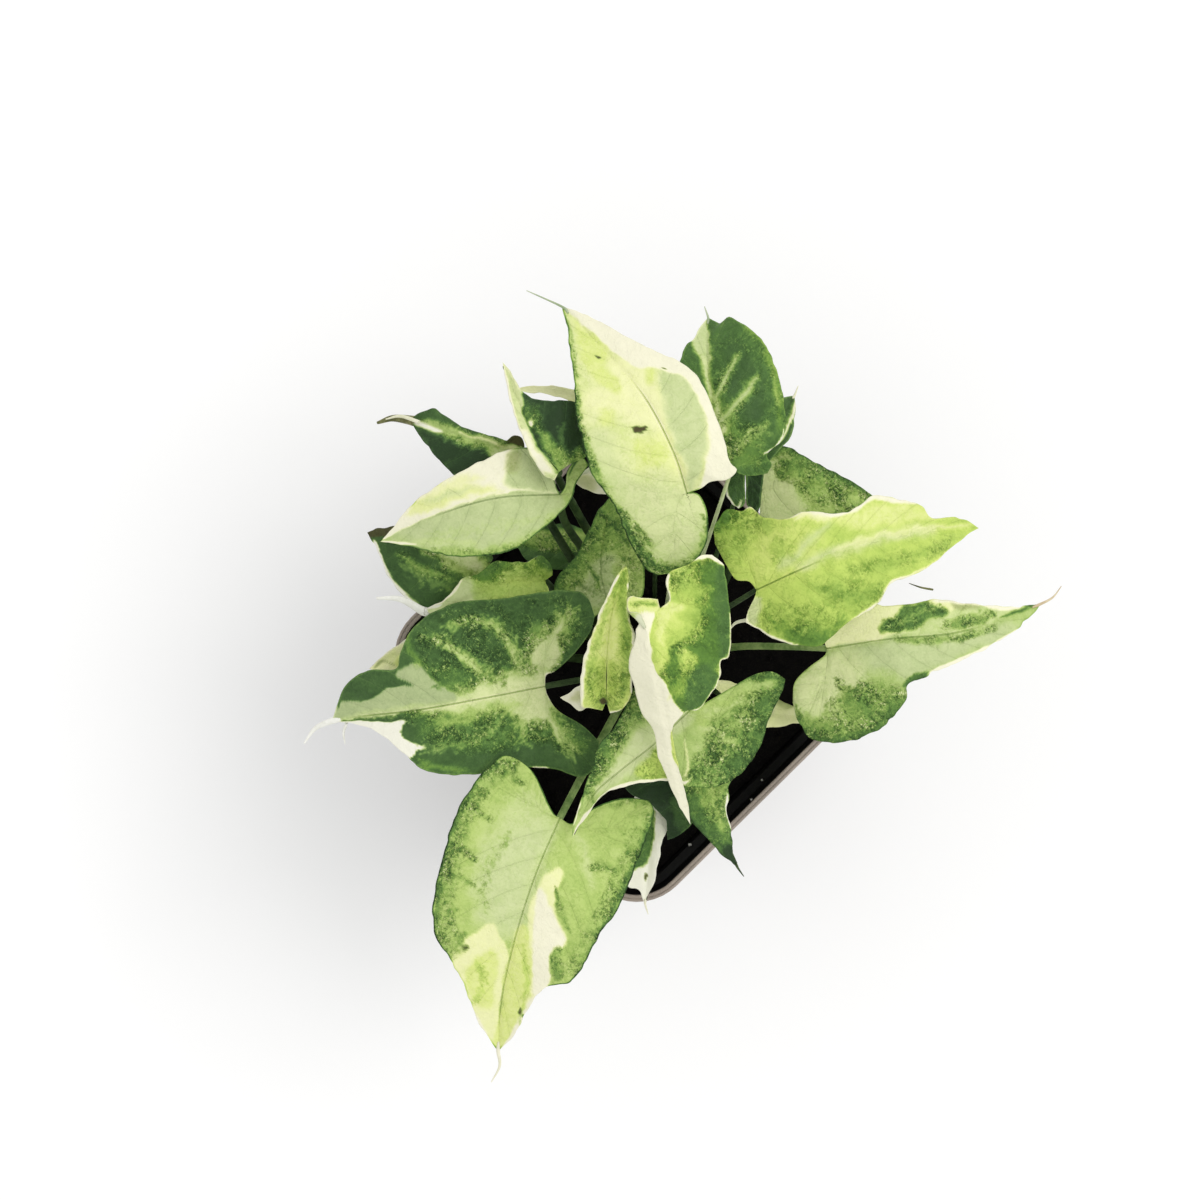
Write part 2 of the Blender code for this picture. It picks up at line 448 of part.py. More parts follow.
def half_rows(leaf, outline, phase):
    """Rows of points of one half of a blade, from the back of its lobe to its tip."""
    rows_ahead, back_rows, columns, _ = grid_of(leaf)
    rib = dense(leaf["rib"])
    base = rib[0]
    tip = rib[-1]
    backward = rib[0][:2] - rib[1][:2]
    backward = backward / np.linalg.norm(backward)
    reaches = [float(np.dot(np.array(point) - base[:2], backward)) for point in outline]
    rear = int(np.argmax(reaches))
    if reaches[rear] > BACK_LEAST:
        edge = dense([outline[rear], *reversed(outline[:rear]), tuple(base[:2])])
        margin = dense([*outline[rear:], tuple(tip[:2])])
        back_share = plan_length(edge) / (plan_length(edge) + plan_length(rib))
    else:
        edge = None
        margin = dense([tuple(base[:2]), *outline, tuple(tip[:2])])
        back_rows = 0
        back_share = 0.0
    rows = []
    for row in range(back_rows + rows_ahead + 1):
        if row < back_rows:
            inner = along(edge, row / back_rows)
            fall = leaf["drop"] * float(np.linalg.norm(inner - base[:2]))
            inner = np.array([inner[0], inner[1], base[2] - fall])
            outer_share = back_share * row / back_rows
        else:
            ahead = (row - back_rows) / rows_ahead
            inner = along(rib, ahead)
            outer_share = back_share + (1 - back_share) * ahead
        outer = along(margin, outer_share)
        length = float(np.linalg.norm(outer - inner[:2]))
        ripple = leaf["wave"] * math.sin(outer_share * WAVE_TURN + phase)
        points = []
        for column in range(columns + 1):
            share = column / columns
            flat = inner[:2] + (outer - inner[:2]) * share
            reach = length * share
            fade = min(1.0, length / WAVE_FULL)
            height = (inner[2] + leaf["fold"] * reach - leaf["sag"] * reach ** 2
                      + ripple * share ** 2 * fade)
            points.append(place(flat[0], flat[1], height))
        rows.append(points)
    return rows


def make_blade(name, leaf):
    """The blade as a thin solid; both halves share the midrib's points."""
    builder = bmesh.new()
    known = {}

    def corner(point):
        key = tuple(round(value / MERGE) for value in point)
        if key not in known:
            known[key] = builder.verts.new(point)
        return known[key]

    def facet(first, second, third):
        corners = (corner(first), corner(second), corner(third))
        if len(set(corners)) == 3:
            builder.faces.new(corners)

    for outline, side in ((leaf["left"], 1), (leaf["right"], -1)):
        rows = half_rows(leaf, outline, len(name) + 2 * side)
        for near, far in zip(rows, rows[1:]):
            for column in range(len(near) - 1):
                a = near[column]
                b = near[column + 1]
                c = far[column + 1]
                d = far[column]
                if side < 0:
                    facet(a, b, c)
                    facet(a, c, d)
                else:
                    facet(c, b, a)
                    facet(d, c, a)
    builder.normal_update()
    blade = new_item(name, builder)
    thick = blade.modifiers.new("thick", "SOLIDIFY")
    thick.thickness = BLADE_THICK
    thick.offset = -1
    thick.use_even_offset = False
    bpy.context.view_layer.objects.active = blade
    bpy.ops.object.modifier_apply(modifier=thick.name)
    return blade


def stalk_line(leaf):
    """Middle points and radii of the stalk, the midrib under the blade and the thin tail."""
    x, y = root_place(leaf)
    top = POT_HEIGHT - SOIL_DROP
    line = [(Vector((x, y, top - ROOT_DEPTH + GAP)), STALK_FOOT),
            (Vector((x, y, top + SOIL_CROWN)), STALK_FOOT)]
    start = (leaf["stalk"][0][0], leaf["stalk"][0][1], (SOIL_CROWN - SOIL_DROP) / MM)
    rib = dense(leaf["rib"])
    rows_ahead, _, _, stalk_steps = grid_of(leaf)
    climb = dense([start, *leaf["stalk"][1:], tuple(rib[0])])
    for step in range(1, stalk_steps):
        share = step / stalk_steps
        point = climb[round(share * (len(climb) - 1))]
        radius = STALK_FOOT + (STALK_NECK - STALK_FOOT) * share
        line.append((place(*point) - Vector((0, 0, STALK_NECK * share)), radius))
    for row in range(rows_ahead):
        share = row / rows_ahead
        radius = STALK_NECK + (RIB_END - STALK_NECK) * share ** RIB_TAPER
        point = place(*along(rib, share))
        line.append((point - Vector((0, 0, radius + RIB_COVER)), radius))
    tail = leaf.get("tail", [])
    if tail:
        line.append((place(*rib[-1]) - Vector((0, 0, RIB_END)), RIB_END))
        for point in tail:
            line.append((place(*point) - Vector((0, 0, RIB_END)), TAIL_END))
    return line


def make_stalk(name, leaf):
    line = stalk_line(leaf)
    builder = bmesh.new()
    side_way = Vector((1, 0, 0))
    loops = []
    for index, (point, radius) in enumerate(line):
        before = line[max(index - 1, 0)][0]
        after = line[min(index + 1, len(line) - 1)][0]
        forward = (after - before).normalized()
        if index < 2:
            forward = Vector((0, 0, 1))
        side_way = (side_way - forward * side_way.dot(forward)).normalized()
        other_way = forward.cross(side_way)
        loop = []
        for side in range(STALK_SIDES):
            angle = 2 * math.pi * side / STALK_SIDES
            outward = side_way * math.cos(angle) + other_way * math.sin(angle)
            loop.append(builder.verts.new(point + outward * radius))
        loops.append(loop)
    for lower, upper in zip(loops, loops[1:]):
        for side in range(STALK_SIDES):
            following = (side + 1) % STALK_SIDES
            builder.faces.new((lower[side], lower[following], upper[following], upper[side]))
    builder.faces.new(list(reversed(loops[0])))
    builder.faces.new(loops[-1])
    return new_item(name + "_stalk", builder)


def make_leaf(name, leaf):
    blade = make_blade(name, leaf)
    combine(blade, make_stalk(name, leaf), "UNION")
    finish(blade, LEAF_SHADES[name], 0.4)


clear_scene()
make_pot()
make_soil()
for leaf_name, leaf_entry in LEAVES.items():
    make_leaf(leaf_name, leaf_entry)
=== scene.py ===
# Arrowhead plant with marbled leaves in a square nursery pot, seen from straight above.
import math

import bpy
import numpy as np
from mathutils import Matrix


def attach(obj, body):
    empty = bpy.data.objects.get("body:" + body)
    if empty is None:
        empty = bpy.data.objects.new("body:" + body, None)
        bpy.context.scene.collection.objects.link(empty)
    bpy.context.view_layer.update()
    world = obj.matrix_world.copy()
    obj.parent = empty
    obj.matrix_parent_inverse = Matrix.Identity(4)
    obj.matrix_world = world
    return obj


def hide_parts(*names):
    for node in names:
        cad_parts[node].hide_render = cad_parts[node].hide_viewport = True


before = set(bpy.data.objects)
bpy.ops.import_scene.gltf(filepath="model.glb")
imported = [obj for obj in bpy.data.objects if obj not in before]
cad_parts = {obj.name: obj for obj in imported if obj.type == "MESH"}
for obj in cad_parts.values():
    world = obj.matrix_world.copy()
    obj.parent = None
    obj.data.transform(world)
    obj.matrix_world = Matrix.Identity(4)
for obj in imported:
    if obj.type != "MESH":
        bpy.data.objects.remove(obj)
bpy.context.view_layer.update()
mm = 0.001

# The chart that the leaves are laid out on: millimetres, x to the right and y up as an eye
# straight above the plant sees it, heights counted from the pot's rim.
chart = dict(eyeX=-10.2, eyeY=15.8, eyeUp=800.0, turn=math.radians(45.3), rim=90.0)


def place(x, y, height):  # from the chart to metres in the scene
    share = (chart["eyeUp"] - height) / chart["eyeUp"]
    right = (chart["eyeX"] + (x - chart["eyeX"]) * share) * mm
    up = (chart["eyeY"] + (y - chart["eyeY"]) * share) * mm
    cosine = math.cos(chart["turn"])
    sine = math.sin(chart["turn"])
    across = right * cosine - up * sine
    along = right * sine + up * cosine
    return np.stack([across, along, (chart["rim"] + height) * mm + 0 * across], axis=-1)


def curveThrough(points, steps=12, closed=False):  # a smooth line through its marks
    points = [np.array(point, float) for point in points]
    if closed:
        padded = [points[-1], *points, points[0], points[1]]
    elif len(points) == 2:
        return np.linspace(points[0], points[1], steps + 1)
    else:
        padded = [2 * points[0] - points[1], *points, 2 * points[-1] - points[-2]]
    line = []
    for before, start, end, after in zip(padded, padded[1:], padded[2:], padded[3:]):
        for step in range(steps):
            t = step / steps
            line.append(0.5 * (2 * start + (end - before) * t
                               + (2 * before - 5 * start + 4 * end - after) * t ** 2
                               + (3 * start - before - 3 * end + after) * t ** 3))
    if not closed:
        line.append(points[-1])
    return np.array(line)


def reachAlong(line):  # how far along a line each of its marks lies
    steps = np.linalg.norm(np.diff(line, axis=0), axis=1)
    return np.concatenate([[0.0], np.cumsum(steps)])


def pointsAt(line, shares):  # points at shares of a line's reach in plan
    reach = reachAlong(line[:, :2])
    wanted = np.asarray(shares, float) * reach[-1]
    return np.stack([np.interp(wanted, reach, line[:, axis]) for axis in range(line.shape[1])], axis=-1)


def smooth(share):
    share = np.clip(share, 0.0, 1.0)
    return share * share * (3 - 2 * share)


def cloud(x, y, size, seed):  # soft bumps between -1 and 1, one every size millimetres
    cells = 128
    table = np.random.default_rng(seed).uniform(-1, 1, (cells, cells))
    acrossAt = np.floor(x / size)
    upAt = np.floor(y / size)
    acrossShare = smooth(x / size - acrossAt)
    upShare = smooth(y / size - upAt)
    column = acrossAt.astype(int)
    row = upAt.astype(int)
    near, far = [table[line % cells, column % cells] * (1 - acrossShare)
                 + table[line % cells, (column + 1) % cells] * acrossShare for line in (row, row + 1)]
    return near * (1 - upShare) + far * upShare


def nearestOn(x, y, starts, ends):
    # distance to the nearest of many short lines, the side it is passed on, and the line's number
    wayX = ends[:, 0] - starts[:, 0]
    wayY = ends[:, 1] - starts[:, 1]
    square = np.maximum(wayX ** 2 + wayY ** 2, 1e-12)
    fromX = x[:, None] - starts[None, :, 0]
    fromY = y[:, None] - starts[None, :, 1]
    share = np.clip((fromX * wayX + fromY * wayY) / square, 0, 1)
    distance = np.sqrt((fromX - share * wayX) ** 2 + (fromY - share * wayY) ** 2)
    nearest = distance.argmin(axis=1)
    rows = np.arange(len(x))
    side = np.where((wayX * fromY - wayY * fromX)[rows, nearest] >= 0, 1.0, -1.0)
    return distance[rows, nearest], side, nearest + share[rows, nearest]


def depthInside(x, y, outline):  # millimetres inside a closed outline, negative outside
    line = curveThrough(outline, 5, closed=True)
    ends = np.roll(line, -1, axis=0)
    distance = nearestOn(x, y, line, ends)[0]
    crosses = (line[None, :, 1] > y[:, None]) != (ends[None, :, 1] > y[:, None])
    rise = ends[:, 1] - line[:, 1]
    rise = np.where(np.abs(rise) < 1e-9, 1e-9, rise)
    meetX = line[:, 0] + (y[:, None] - line[:, 1]) / rise * (ends[:, 0] - line[:, 0])
    inside = (crosses & (x[:, None] < meetX)).sum(axis=1) % 2 == 1
    return np.where(inside, distance, -distance)


def selectOnly(*pieces):  # these and nothing else, the first one active
    if bpy.context.object and bpy.context.object.mode != "OBJECT":
        bpy.ops.object.mode_set(mode="OBJECT")
    bpy.ops.object.select_all(action="DESELECT")
    for piece in pieces:
        piece.select_set(True)
    if pieces:
        bpy.context.view_layer.objects.active = pieces[0]


def joinPieces(pieces):
    selectOnly(*pieces)
    bpy.ops.object.join()
    return pieces[0]


def editMesh(operator, everything=True, **settings):  # one step in edit mode on the active piece
    bpy.ops.object.mode_set(mode="EDIT")
    if everything:
        bpy.ops.mesh.select_all(action="SELECT")
    operator(**settings)
    bpy.ops.object.mode_set(mode="OBJECT")


def applyModifier(piece, kind, **settings):
    change = piece.modifiers.new("change", kind)
    for key, value in settings.items():
        setattr(change, key, value)
    selectOnly(piece)
    bpy.ops.object.modifier_apply(modifier=change.name)


def settlePlace(piece):  # the place goes into the mesh
    selectOnly(piece)
    bpy.ops.object.transform_apply(location=True, rotation=True, scale=True)


def readMarks(piece):
    marks = np.zeros(len(piece.data.vertices) * 3)
    piece.data.vertices.foreach_get("co", marks)
    return marks.reshape(-1, 3)


def nameAndDress(piece, name, *finishes):
    piece.name = name
    piece.data.name = name
    piece.data.materials.clear()
    for finish in finishes:
        piece.data.materials.append(finish)


class Wire:  # a shader socket that can be used in sums
    def __init__(self, tree, socket=None):
        self.tree = tree
        self.socket = socket

    def node(self, kind, settings=None, inputs=None, output=0):
        made = self.tree.nodes.new(kind)
        for key, value in (settings or {}).items():
            if key == "stops":
                ramp = made.color_ramp
                while len(ramp.elements) < len(value):
                    ramp.elements.new(0.5)
                for element, (position, colour) in zip(ramp.elements, value):
                    element.position = position
                    element.color = (*colour, 1.0)
            else:
                setattr(made, key, value)
        for key, value in (inputs or {}).items():
            if isinstance(value, Wire):
                self.tree.links.new(value.socket, made.inputs[key])
            else:
                made.inputs[key].default_value = value
        return Wire(self.tree, made.outputs[output])

    def sum(self, operation, first, second=0.0):
        return self.node("ShaderNodeMath", {"operation": operation}, {0: first, 1: second})

    def __add__(self, other):
        return self.sum("ADD", self, other)

    def __radd__(self, other):
        return self.sum("ADD", other, self)

    def __sub__(self, other):
        return self.sum("SUBTRACT", self, other)

    def __rsub__(self, other):
        return self.sum("SUBTRACT", other, self)

    def __mul__(self, other):
        return self.sum("MULTIPLY", self, other)

    def __rmul__(self, other):
        return self.sum("MULTIPLY", other, self)

    def __abs__(self):
        return self.sum("ABSOLUTE", self)

    def between(self, low, high):  # 0 below low, 1 above high, smooth between; low may be the higher
        return self.node("ShaderNodeMapRange", {"interpolation_type": "SMOOTHSTEP"},
                         {"Value": self, "From Min": low, "From Max": high})

    def ramp(self, stops):
        return self.node("ShaderNodeValToRGB", {"stops": stops}, {"Fac": self})

    def mixed(self, other, share):  # towards another colour
        return self.node("ShaderNodeMix", {"data_type": "RGBA"}, {0: share, 6: self, 7: other}, output=2)

    def attribute(self, name):
        return self.node("ShaderNodeAttribute", {"attribute_name": name}, output=2)

    def grain(self, scale, detail=2.0, roughness=0.5, shift=0.0, distortion=0.0):
        # noise on the object's own coordinates
        spot = self.node("ShaderNodeTexCoord", output=3)
        if shift:
            spot = self.node("ShaderNodeVectorMath", {"operation": "ADD"}, {0: spot, 1: (shift,) * 3})
        return self.node("ShaderNodeTexNoise", {"noise_dimensions": "3D"},
                         {"Vector": spot, "Scale": scale, "Detail": detail, "Roughness": roughness,
                          "Distortion": distortion})


def newFinish(name):  # a material and its empty sheet
    material = bpy.data.materials.new(name)
    material.use_nodes = True
    return material, Wire(material.node_tree)


def surface(sheet, colour, roughness, relief, depth, strength, specular):
    inputs = sheet.tree.nodes["Principled BSDF"].inputs
    bump = sheet.node("ShaderNodeBump", None, {"Strength": strength, "Distance": depth, "Height": relief})
    for name, wire in (("Base Color", colour), ("Roughness", roughness), ("Normal", bump)):
        sheet.tree.links.new(wire.socket, inputs[name])
    inputs["Specular IOR Level"].default_value = specular


# Colours of a leaf from cream to near black green, and how light a place on that scale is.
leafColours = dict(
    plain=[(0.0, (0.82, 0.80, 0.615)), (0.10, (0.79, 0.80, 0.50)), (0.20, (0.67, 0.72, 0.38)),
           (0.30, (0.55, 0.635, 0.29)), (0.42, (0.42, 0.545, 0.175)), (0.55, (0.29, 0.43, 0.105)),
           (0.68, (0.160, 0.290, 0.062)), (0.82, (0.072, 0.156, 0.036)), (1.0, (0.022, 0.055, 0.012))],
    lime=[(0.0, (0.84, 0.81, 0.55)), (0.12, (0.76, 0.79, 0.34)), (0.25, (0.65, 0.74, 0.20)),
          (0.38, (0.50, 0.64, 0.13)), (0.50, (0.36, 0.51, 0.09)), (0.62, (0.22, 0.36, 0.05)),
          (0.75, (0.115, 0.24, 0.03)), (0.90, (0.052, 0.125, 0.017)), (1.0, (0.026, 0.062, 0.010))],
    grey=[(0.0, (0.83, 0.82, 0.70)), (0.15, (0.67, 0.71, 0.46)), (0.30, (0.53, 0.60, 0.31)),
          (0.43, (0.39, 0.465, 0.23)), (0.60, (0.22, 0.31, 0.13)), (0.75, (0.105, 0.18, 0.06)),
          (0.90, (0.045, 0.095, 0.032)), (1.0, (0.019, 0.042, 0.015))],
    rust=(0.075, 0.055, 0.024), below=(0.36, 0.45, 0.25))

# Grains of the skin (scale, detail, roughness, shift, distortion), the values between which each part
# of the pattern shows (from none to full), how far it moves the tone, and how far it stands out.
leafSkin = dict(
    clumps=(210, 3, 0.6, 1.3), broad=(380, 5, 0.66, 0, 0.9), fine=(1500, 3, 0.65),
    other=(900, 4, 0.7, 3.1, 0.5), pores=(2600, 2, 0.6), creases=(330, 4, 0.6, 7.7, 1.1),
    clumpSpan=(0.36, 0.64), darkSpan=(0.49, 0.565), paleSpan=(0.515, 0.58), wrinkleSpan=(0.030, 0.004),
    veinSpan=(0.30, 0.04), ribSpan=(0.24, 0.06), ribSideSpan=(1.0, 0.35), edgeSpan=(0.60, 0.20),
    lightSpan=(0.75, 0.35), tintSpan=(0.04, 0.22), limeSpan=(0.30, 1.0), greySpan=(0.35, 0.0),
    broadShare=0.5, otherShare=0.6, edgeGrain=0.6,
    dustLeast=0.30, dustMore=1.15, darkSpeck=0.62, paleSpeck=0.64, wrinkle=0.16,
    broadTint=0.15, fineTint=0.09, poreTint=0.06, nearVein=(0.05, 0.03), vein=(0.06, 0.05),
    rib=(0.28, 0.06), ribSide=0.05, hem=(0.22, 0.28),
    broadRise=0.9, fineRise=0.3, darkRise=0.6, paleFall=0.3, wrinkleFall=0.4, veinFall=0.2, ribFall=0.9,
    depth=0.00045, rough=0.42, roughMore=0.10, roughBelow=0.18, palerBelow=0.45, specular=0.15)


def makeLeafFinish(name, below=False):
    make = leafSkin
    material, sheet = newFinish(name)
    green, yellow, rust, near, ribDark = [sheet.attribute(key)
                                          for key in ("green", "yellow", "rust", "near", "ribDark")]
    clumps, broad, fine, other, pores, creases = [
        sheet.grain(*make[key]) for key in ("clumps", "broad", "fine", "other", "pores", "creases")]
    dusty = make["dustLeast"] + clumps.between(*make["clumpSpan"]) * make["dustMore"]
    dust = sheet.attribute("dust") * dusty
    veinLine = near * abs(sheet.attribute("vein")).between(*make["veinSpan"])
    fromRib = abs(sheet.attribute("rib"))
    ribLine = fromRib.between(*make["ribSpan"]) * ribDark
    ribSide = fromRib.between(*make["ribSideSpan"]) * ribDark * (1 - ribLine)
    wrinkle = abs(creases - 0.5).between(*make["wrinkleSpan"])
    # dark specks on pale skin and pale specks on dark skin, where the leaf is dusty
    darkSpeck = (broad * make["broadShare"] + fine * (1 - make["broadShare"])).between(*make["darkSpan"])
    paleSpeck = (other * make["otherShare"] + pores * (1 - make["otherShare"])).between(*make["paleSpan"])
    light = green.between(*make["lightSpan"])  # 1 on pale skin, 0 on dark skin
    tinted = green.between(*make["tintSpan"])  # 0 on cream, which shows no veins
    # crease lines are darkened as painted shade of the creases
    flecks = (darkSpeck * make["darkSpeck"] * (1 - green) - paleSpeck * make["paleSpeck"] * green
              + wrinkle * make["wrinkle"])
    tints = ((broad - 0.5) * make["broadTint"] + (fine - 0.5) * make["fineTint"]
             + (pores - 0.5) * make["poreTint"])
    tone = green + dust * flecks + tinted * tints
    # on pale skin the midrib's line and the skin beside the veins are darkened as painted shade of their
    # grooves, the midrib's flanks a little paler; on dark skin they are paled like the veins
    for line, (lift, less) in ((near, make["nearVein"]), (veinLine, make["vein"])):
        tone = tone + tinted * line * (light * lift - less)
    tone = tone + ribLine * (light * make["rib"][0] - make["rib"][1]) - ribSide * light * make["ribSide"]
    # a dark hem is painted shade along the leaf's edge; a pale hem is the leaf's own pale margin
    edge = (sheet.attribute("edge") + (fine - 0.5) * make["edgeGrain"]).between(*make["edgeSpan"])
    tone = tone + edge * sheet.attribute("hem") * tinted * (make["hem"][1] + light * make["hem"][0])
    colour = tone.ramp(leafColours["plain"])
    colour = colour.mixed(tone.ramp(leafColours["lime"]), yellow.between(*make["limeSpan"]))
    colour = colour.mixed(tone.ramp(leafColours["grey"]), yellow.between(*make["greySpan"]))
    colour = colour.mixed((*leafColours["rust"], 1.0), rust)
    if below:
        colour = colour.mixed((*leafColours["below"], 1.0), make["palerBelow"])
    relief = (broad * make["broadRise"] + fine * make["fineRise"]
              + dust * (darkSpeck * make["darkRise"] - paleSpeck * make["paleFall"]
                        - wrinkle * make["wrinkleFall"])
              - veinLine * tinted * make["veinFall"] - ribLine * make["ribFall"])
    roughness = make["rough"] + fine * make["roughMore"] + (make["roughBelow"] if below else 0.0)
    surface(sheet, colour, roughness, relief, make["depth"], 1.0, make["specular"])
    return material


# Skins of the stalks: the darker and the lighter colour of the fibres.
stalkTones = dict(
    pale=((0.42, 0.50, 0.24), (0.58, 0.63, 0.38)), cream=((0.66, 0.66, 0.46), (0.78, 0.76, 0.60)),
    mist=((0.30, 0.38, 0.22), (0.46, 0.52, 0.34)), moss=((0.11, 0.19, 0.05), (0.26, 0.36, 0.12)),
    # shade: stalks coloured near black as painted shade, for stalks that stand in the shade under the
    # blades
    shade=((0.016, 0.034, 0.010), (0.050, 0.085, 0.026)),
    white=((0.74, 0.74, 0.66), (0.86, 0.86, 0.80)), tan=((0.52, 0.42, 0.26), (0.70, 0.62, 0.42)),
    olive=((0.075, 0.080, 0.030), (0.26, 0.26, 0.11)))
stalkSkin = dict(fibres=(900, 3, 0.6), blotches=(180, 2), fibreShare=0.5, blotchShare=0.7,
                 span=(0.42, 0.78), rough=0.38, roughMore=0.14, depth=0.00015, strength=0.5,
                 specular=0.1)


def makeStalkFinish(name, dark, light):
    make = stalkSkin
    material, sheet = newFinish(name)
    fibres = sheet.grain(*make["fibres"])
    share = fibres * make["fibreShare"] + sheet.grain(*make["blotches"]) * make["blotchShare"]
    surface(sheet, share.between(*make["span"]).ramp([(0.0, dark), (1.0, light)]),
            make["rough"] + fibres * make["roughMore"], fibres, make["depth"], make["strength"],
            make["specular"])
    return material


# Tones that the leaves are painted with: green from cream 0 to dark 1, yellow from grey 0 to lime 1,
# dust for flecks, rust for dry spots.
tones = dict(
    cream=(0.0, 0.4, 0.01, 0.0), white=(0.0, 0.05, 0.0, 0.0), ivory=(0.1, 0.7, 0.02, 0.0),
    ivoryGreen=(0.19, 0.6, 0.06, 0.0), pale=(0.23, 0.42, 0.05, 0.0), palePlain=(0.31, 0.42, 0.04, 0.0),
    sage=(0.29, 0.2, 0.03, 0.0), mist=(0.34, 0.12, 0.02, 0.0), mistDust=(0.38, 0.18, 0.3, 0.0),
    citron=(0.21, 0.8, 0.04, 0.0), limePale=(0.31, 0.9, 0.1, 0.0), lime=(0.41, 0.92, 0.08, 0.0),
    limeDust=(0.42, 0.88, 0.4, 0.0), fresh=(0.42, 0.55, 0.08, 0.0), freshDust=(0.46, 0.5, 0.4, 0.0),
    freshGrey=(0.42, 0.35, 0.1, 0.0), moss=(0.6, 0.5, 0.4, 0.0), mossLime=(0.56, 0.8, 0.45, 0.0),
    mossDust=(0.6, 0.45, 0.65, 0.0), leafGreen=(0.7, 0.7, 0.12, 0.0), deep=(0.84, 0.35, 0.12, 0.0),
    deepLight=(0.72, 0.5, 0.15, 0.0), deepDust=(0.8, 0.4, 0.45, 0.0), dark=(0.9, 0.2, 0.05, 0.0),
    darkDust=(0.88, 0.24, 0.35, 0.0), night=(1.02, 0.1, 0.02, 0.0), tan=(0.3, 0.5, 0.1, 0.35),
    tanPale=(0.12, 0.5, 0.1, 0.22), bark=(0.85, 0.3, 0.2, 0.8), rust=(0.7, 0.3, 0.1, 0.95),
    honey=(0.15, 0.78, 0.02, 0.0), limeShade=(0.53, 0.88, 0.2, 0.0), emerald=(0.81, 0.74, 0.1, 0.0),
    spring=(0.43, 0.72, 0.2, 0.0), mistDeep=(0.42, 0.06, 0.04, 0.0), emeraldDust=(0.79, 0.72, 0.45, 0.0))

# Every leaf in chart millimetres, height last. stalk: its foot on the soil, then the way up. rib:
# the midrib from the stalk to the tip. left, right: the margin of each half from beside the
# stalk's end around the back lobe and on to the tip. tail: where the tip runs out in a thread.
# fold: how steeply the halves rise from the rib, sag: how they curve down again, drop: how the lobes
# fall behind the stalk's end, wave, frill: how uneven the margin is in height and in plan.
# base: tone of the whole blade. hem: the last half millimetre of the margin, -1 pale to 1 dark.
# sheath, tailTone: skins of the stalk and of the thread, slim, tailWide: how wide they are.
# ribLine: how dark the midrib's line is (on pale skin painted shade of its groove), and the shares of its
# length between which it fades out.
# patches: tone, softness, outline. streaks: tone, softness, half width, line.
# feathers: tone, strength, half width, line, number and length of the strokes that leave it.
# spurs: skin, half width, line of a loose thread. Later paint lies on top.
usualLeaf = dict(fold=0.1, sag=0.01, drop=0.1, wave=0.4, frill=0.28, slim=1, sheath="shade",
                 tailTone="pale", tailWide=0.42, ribLine=(0, 0.5, 0.6), tail=[], patches=[], streaks=[],
                 feathers=[], spurs=[])
leaves = {}
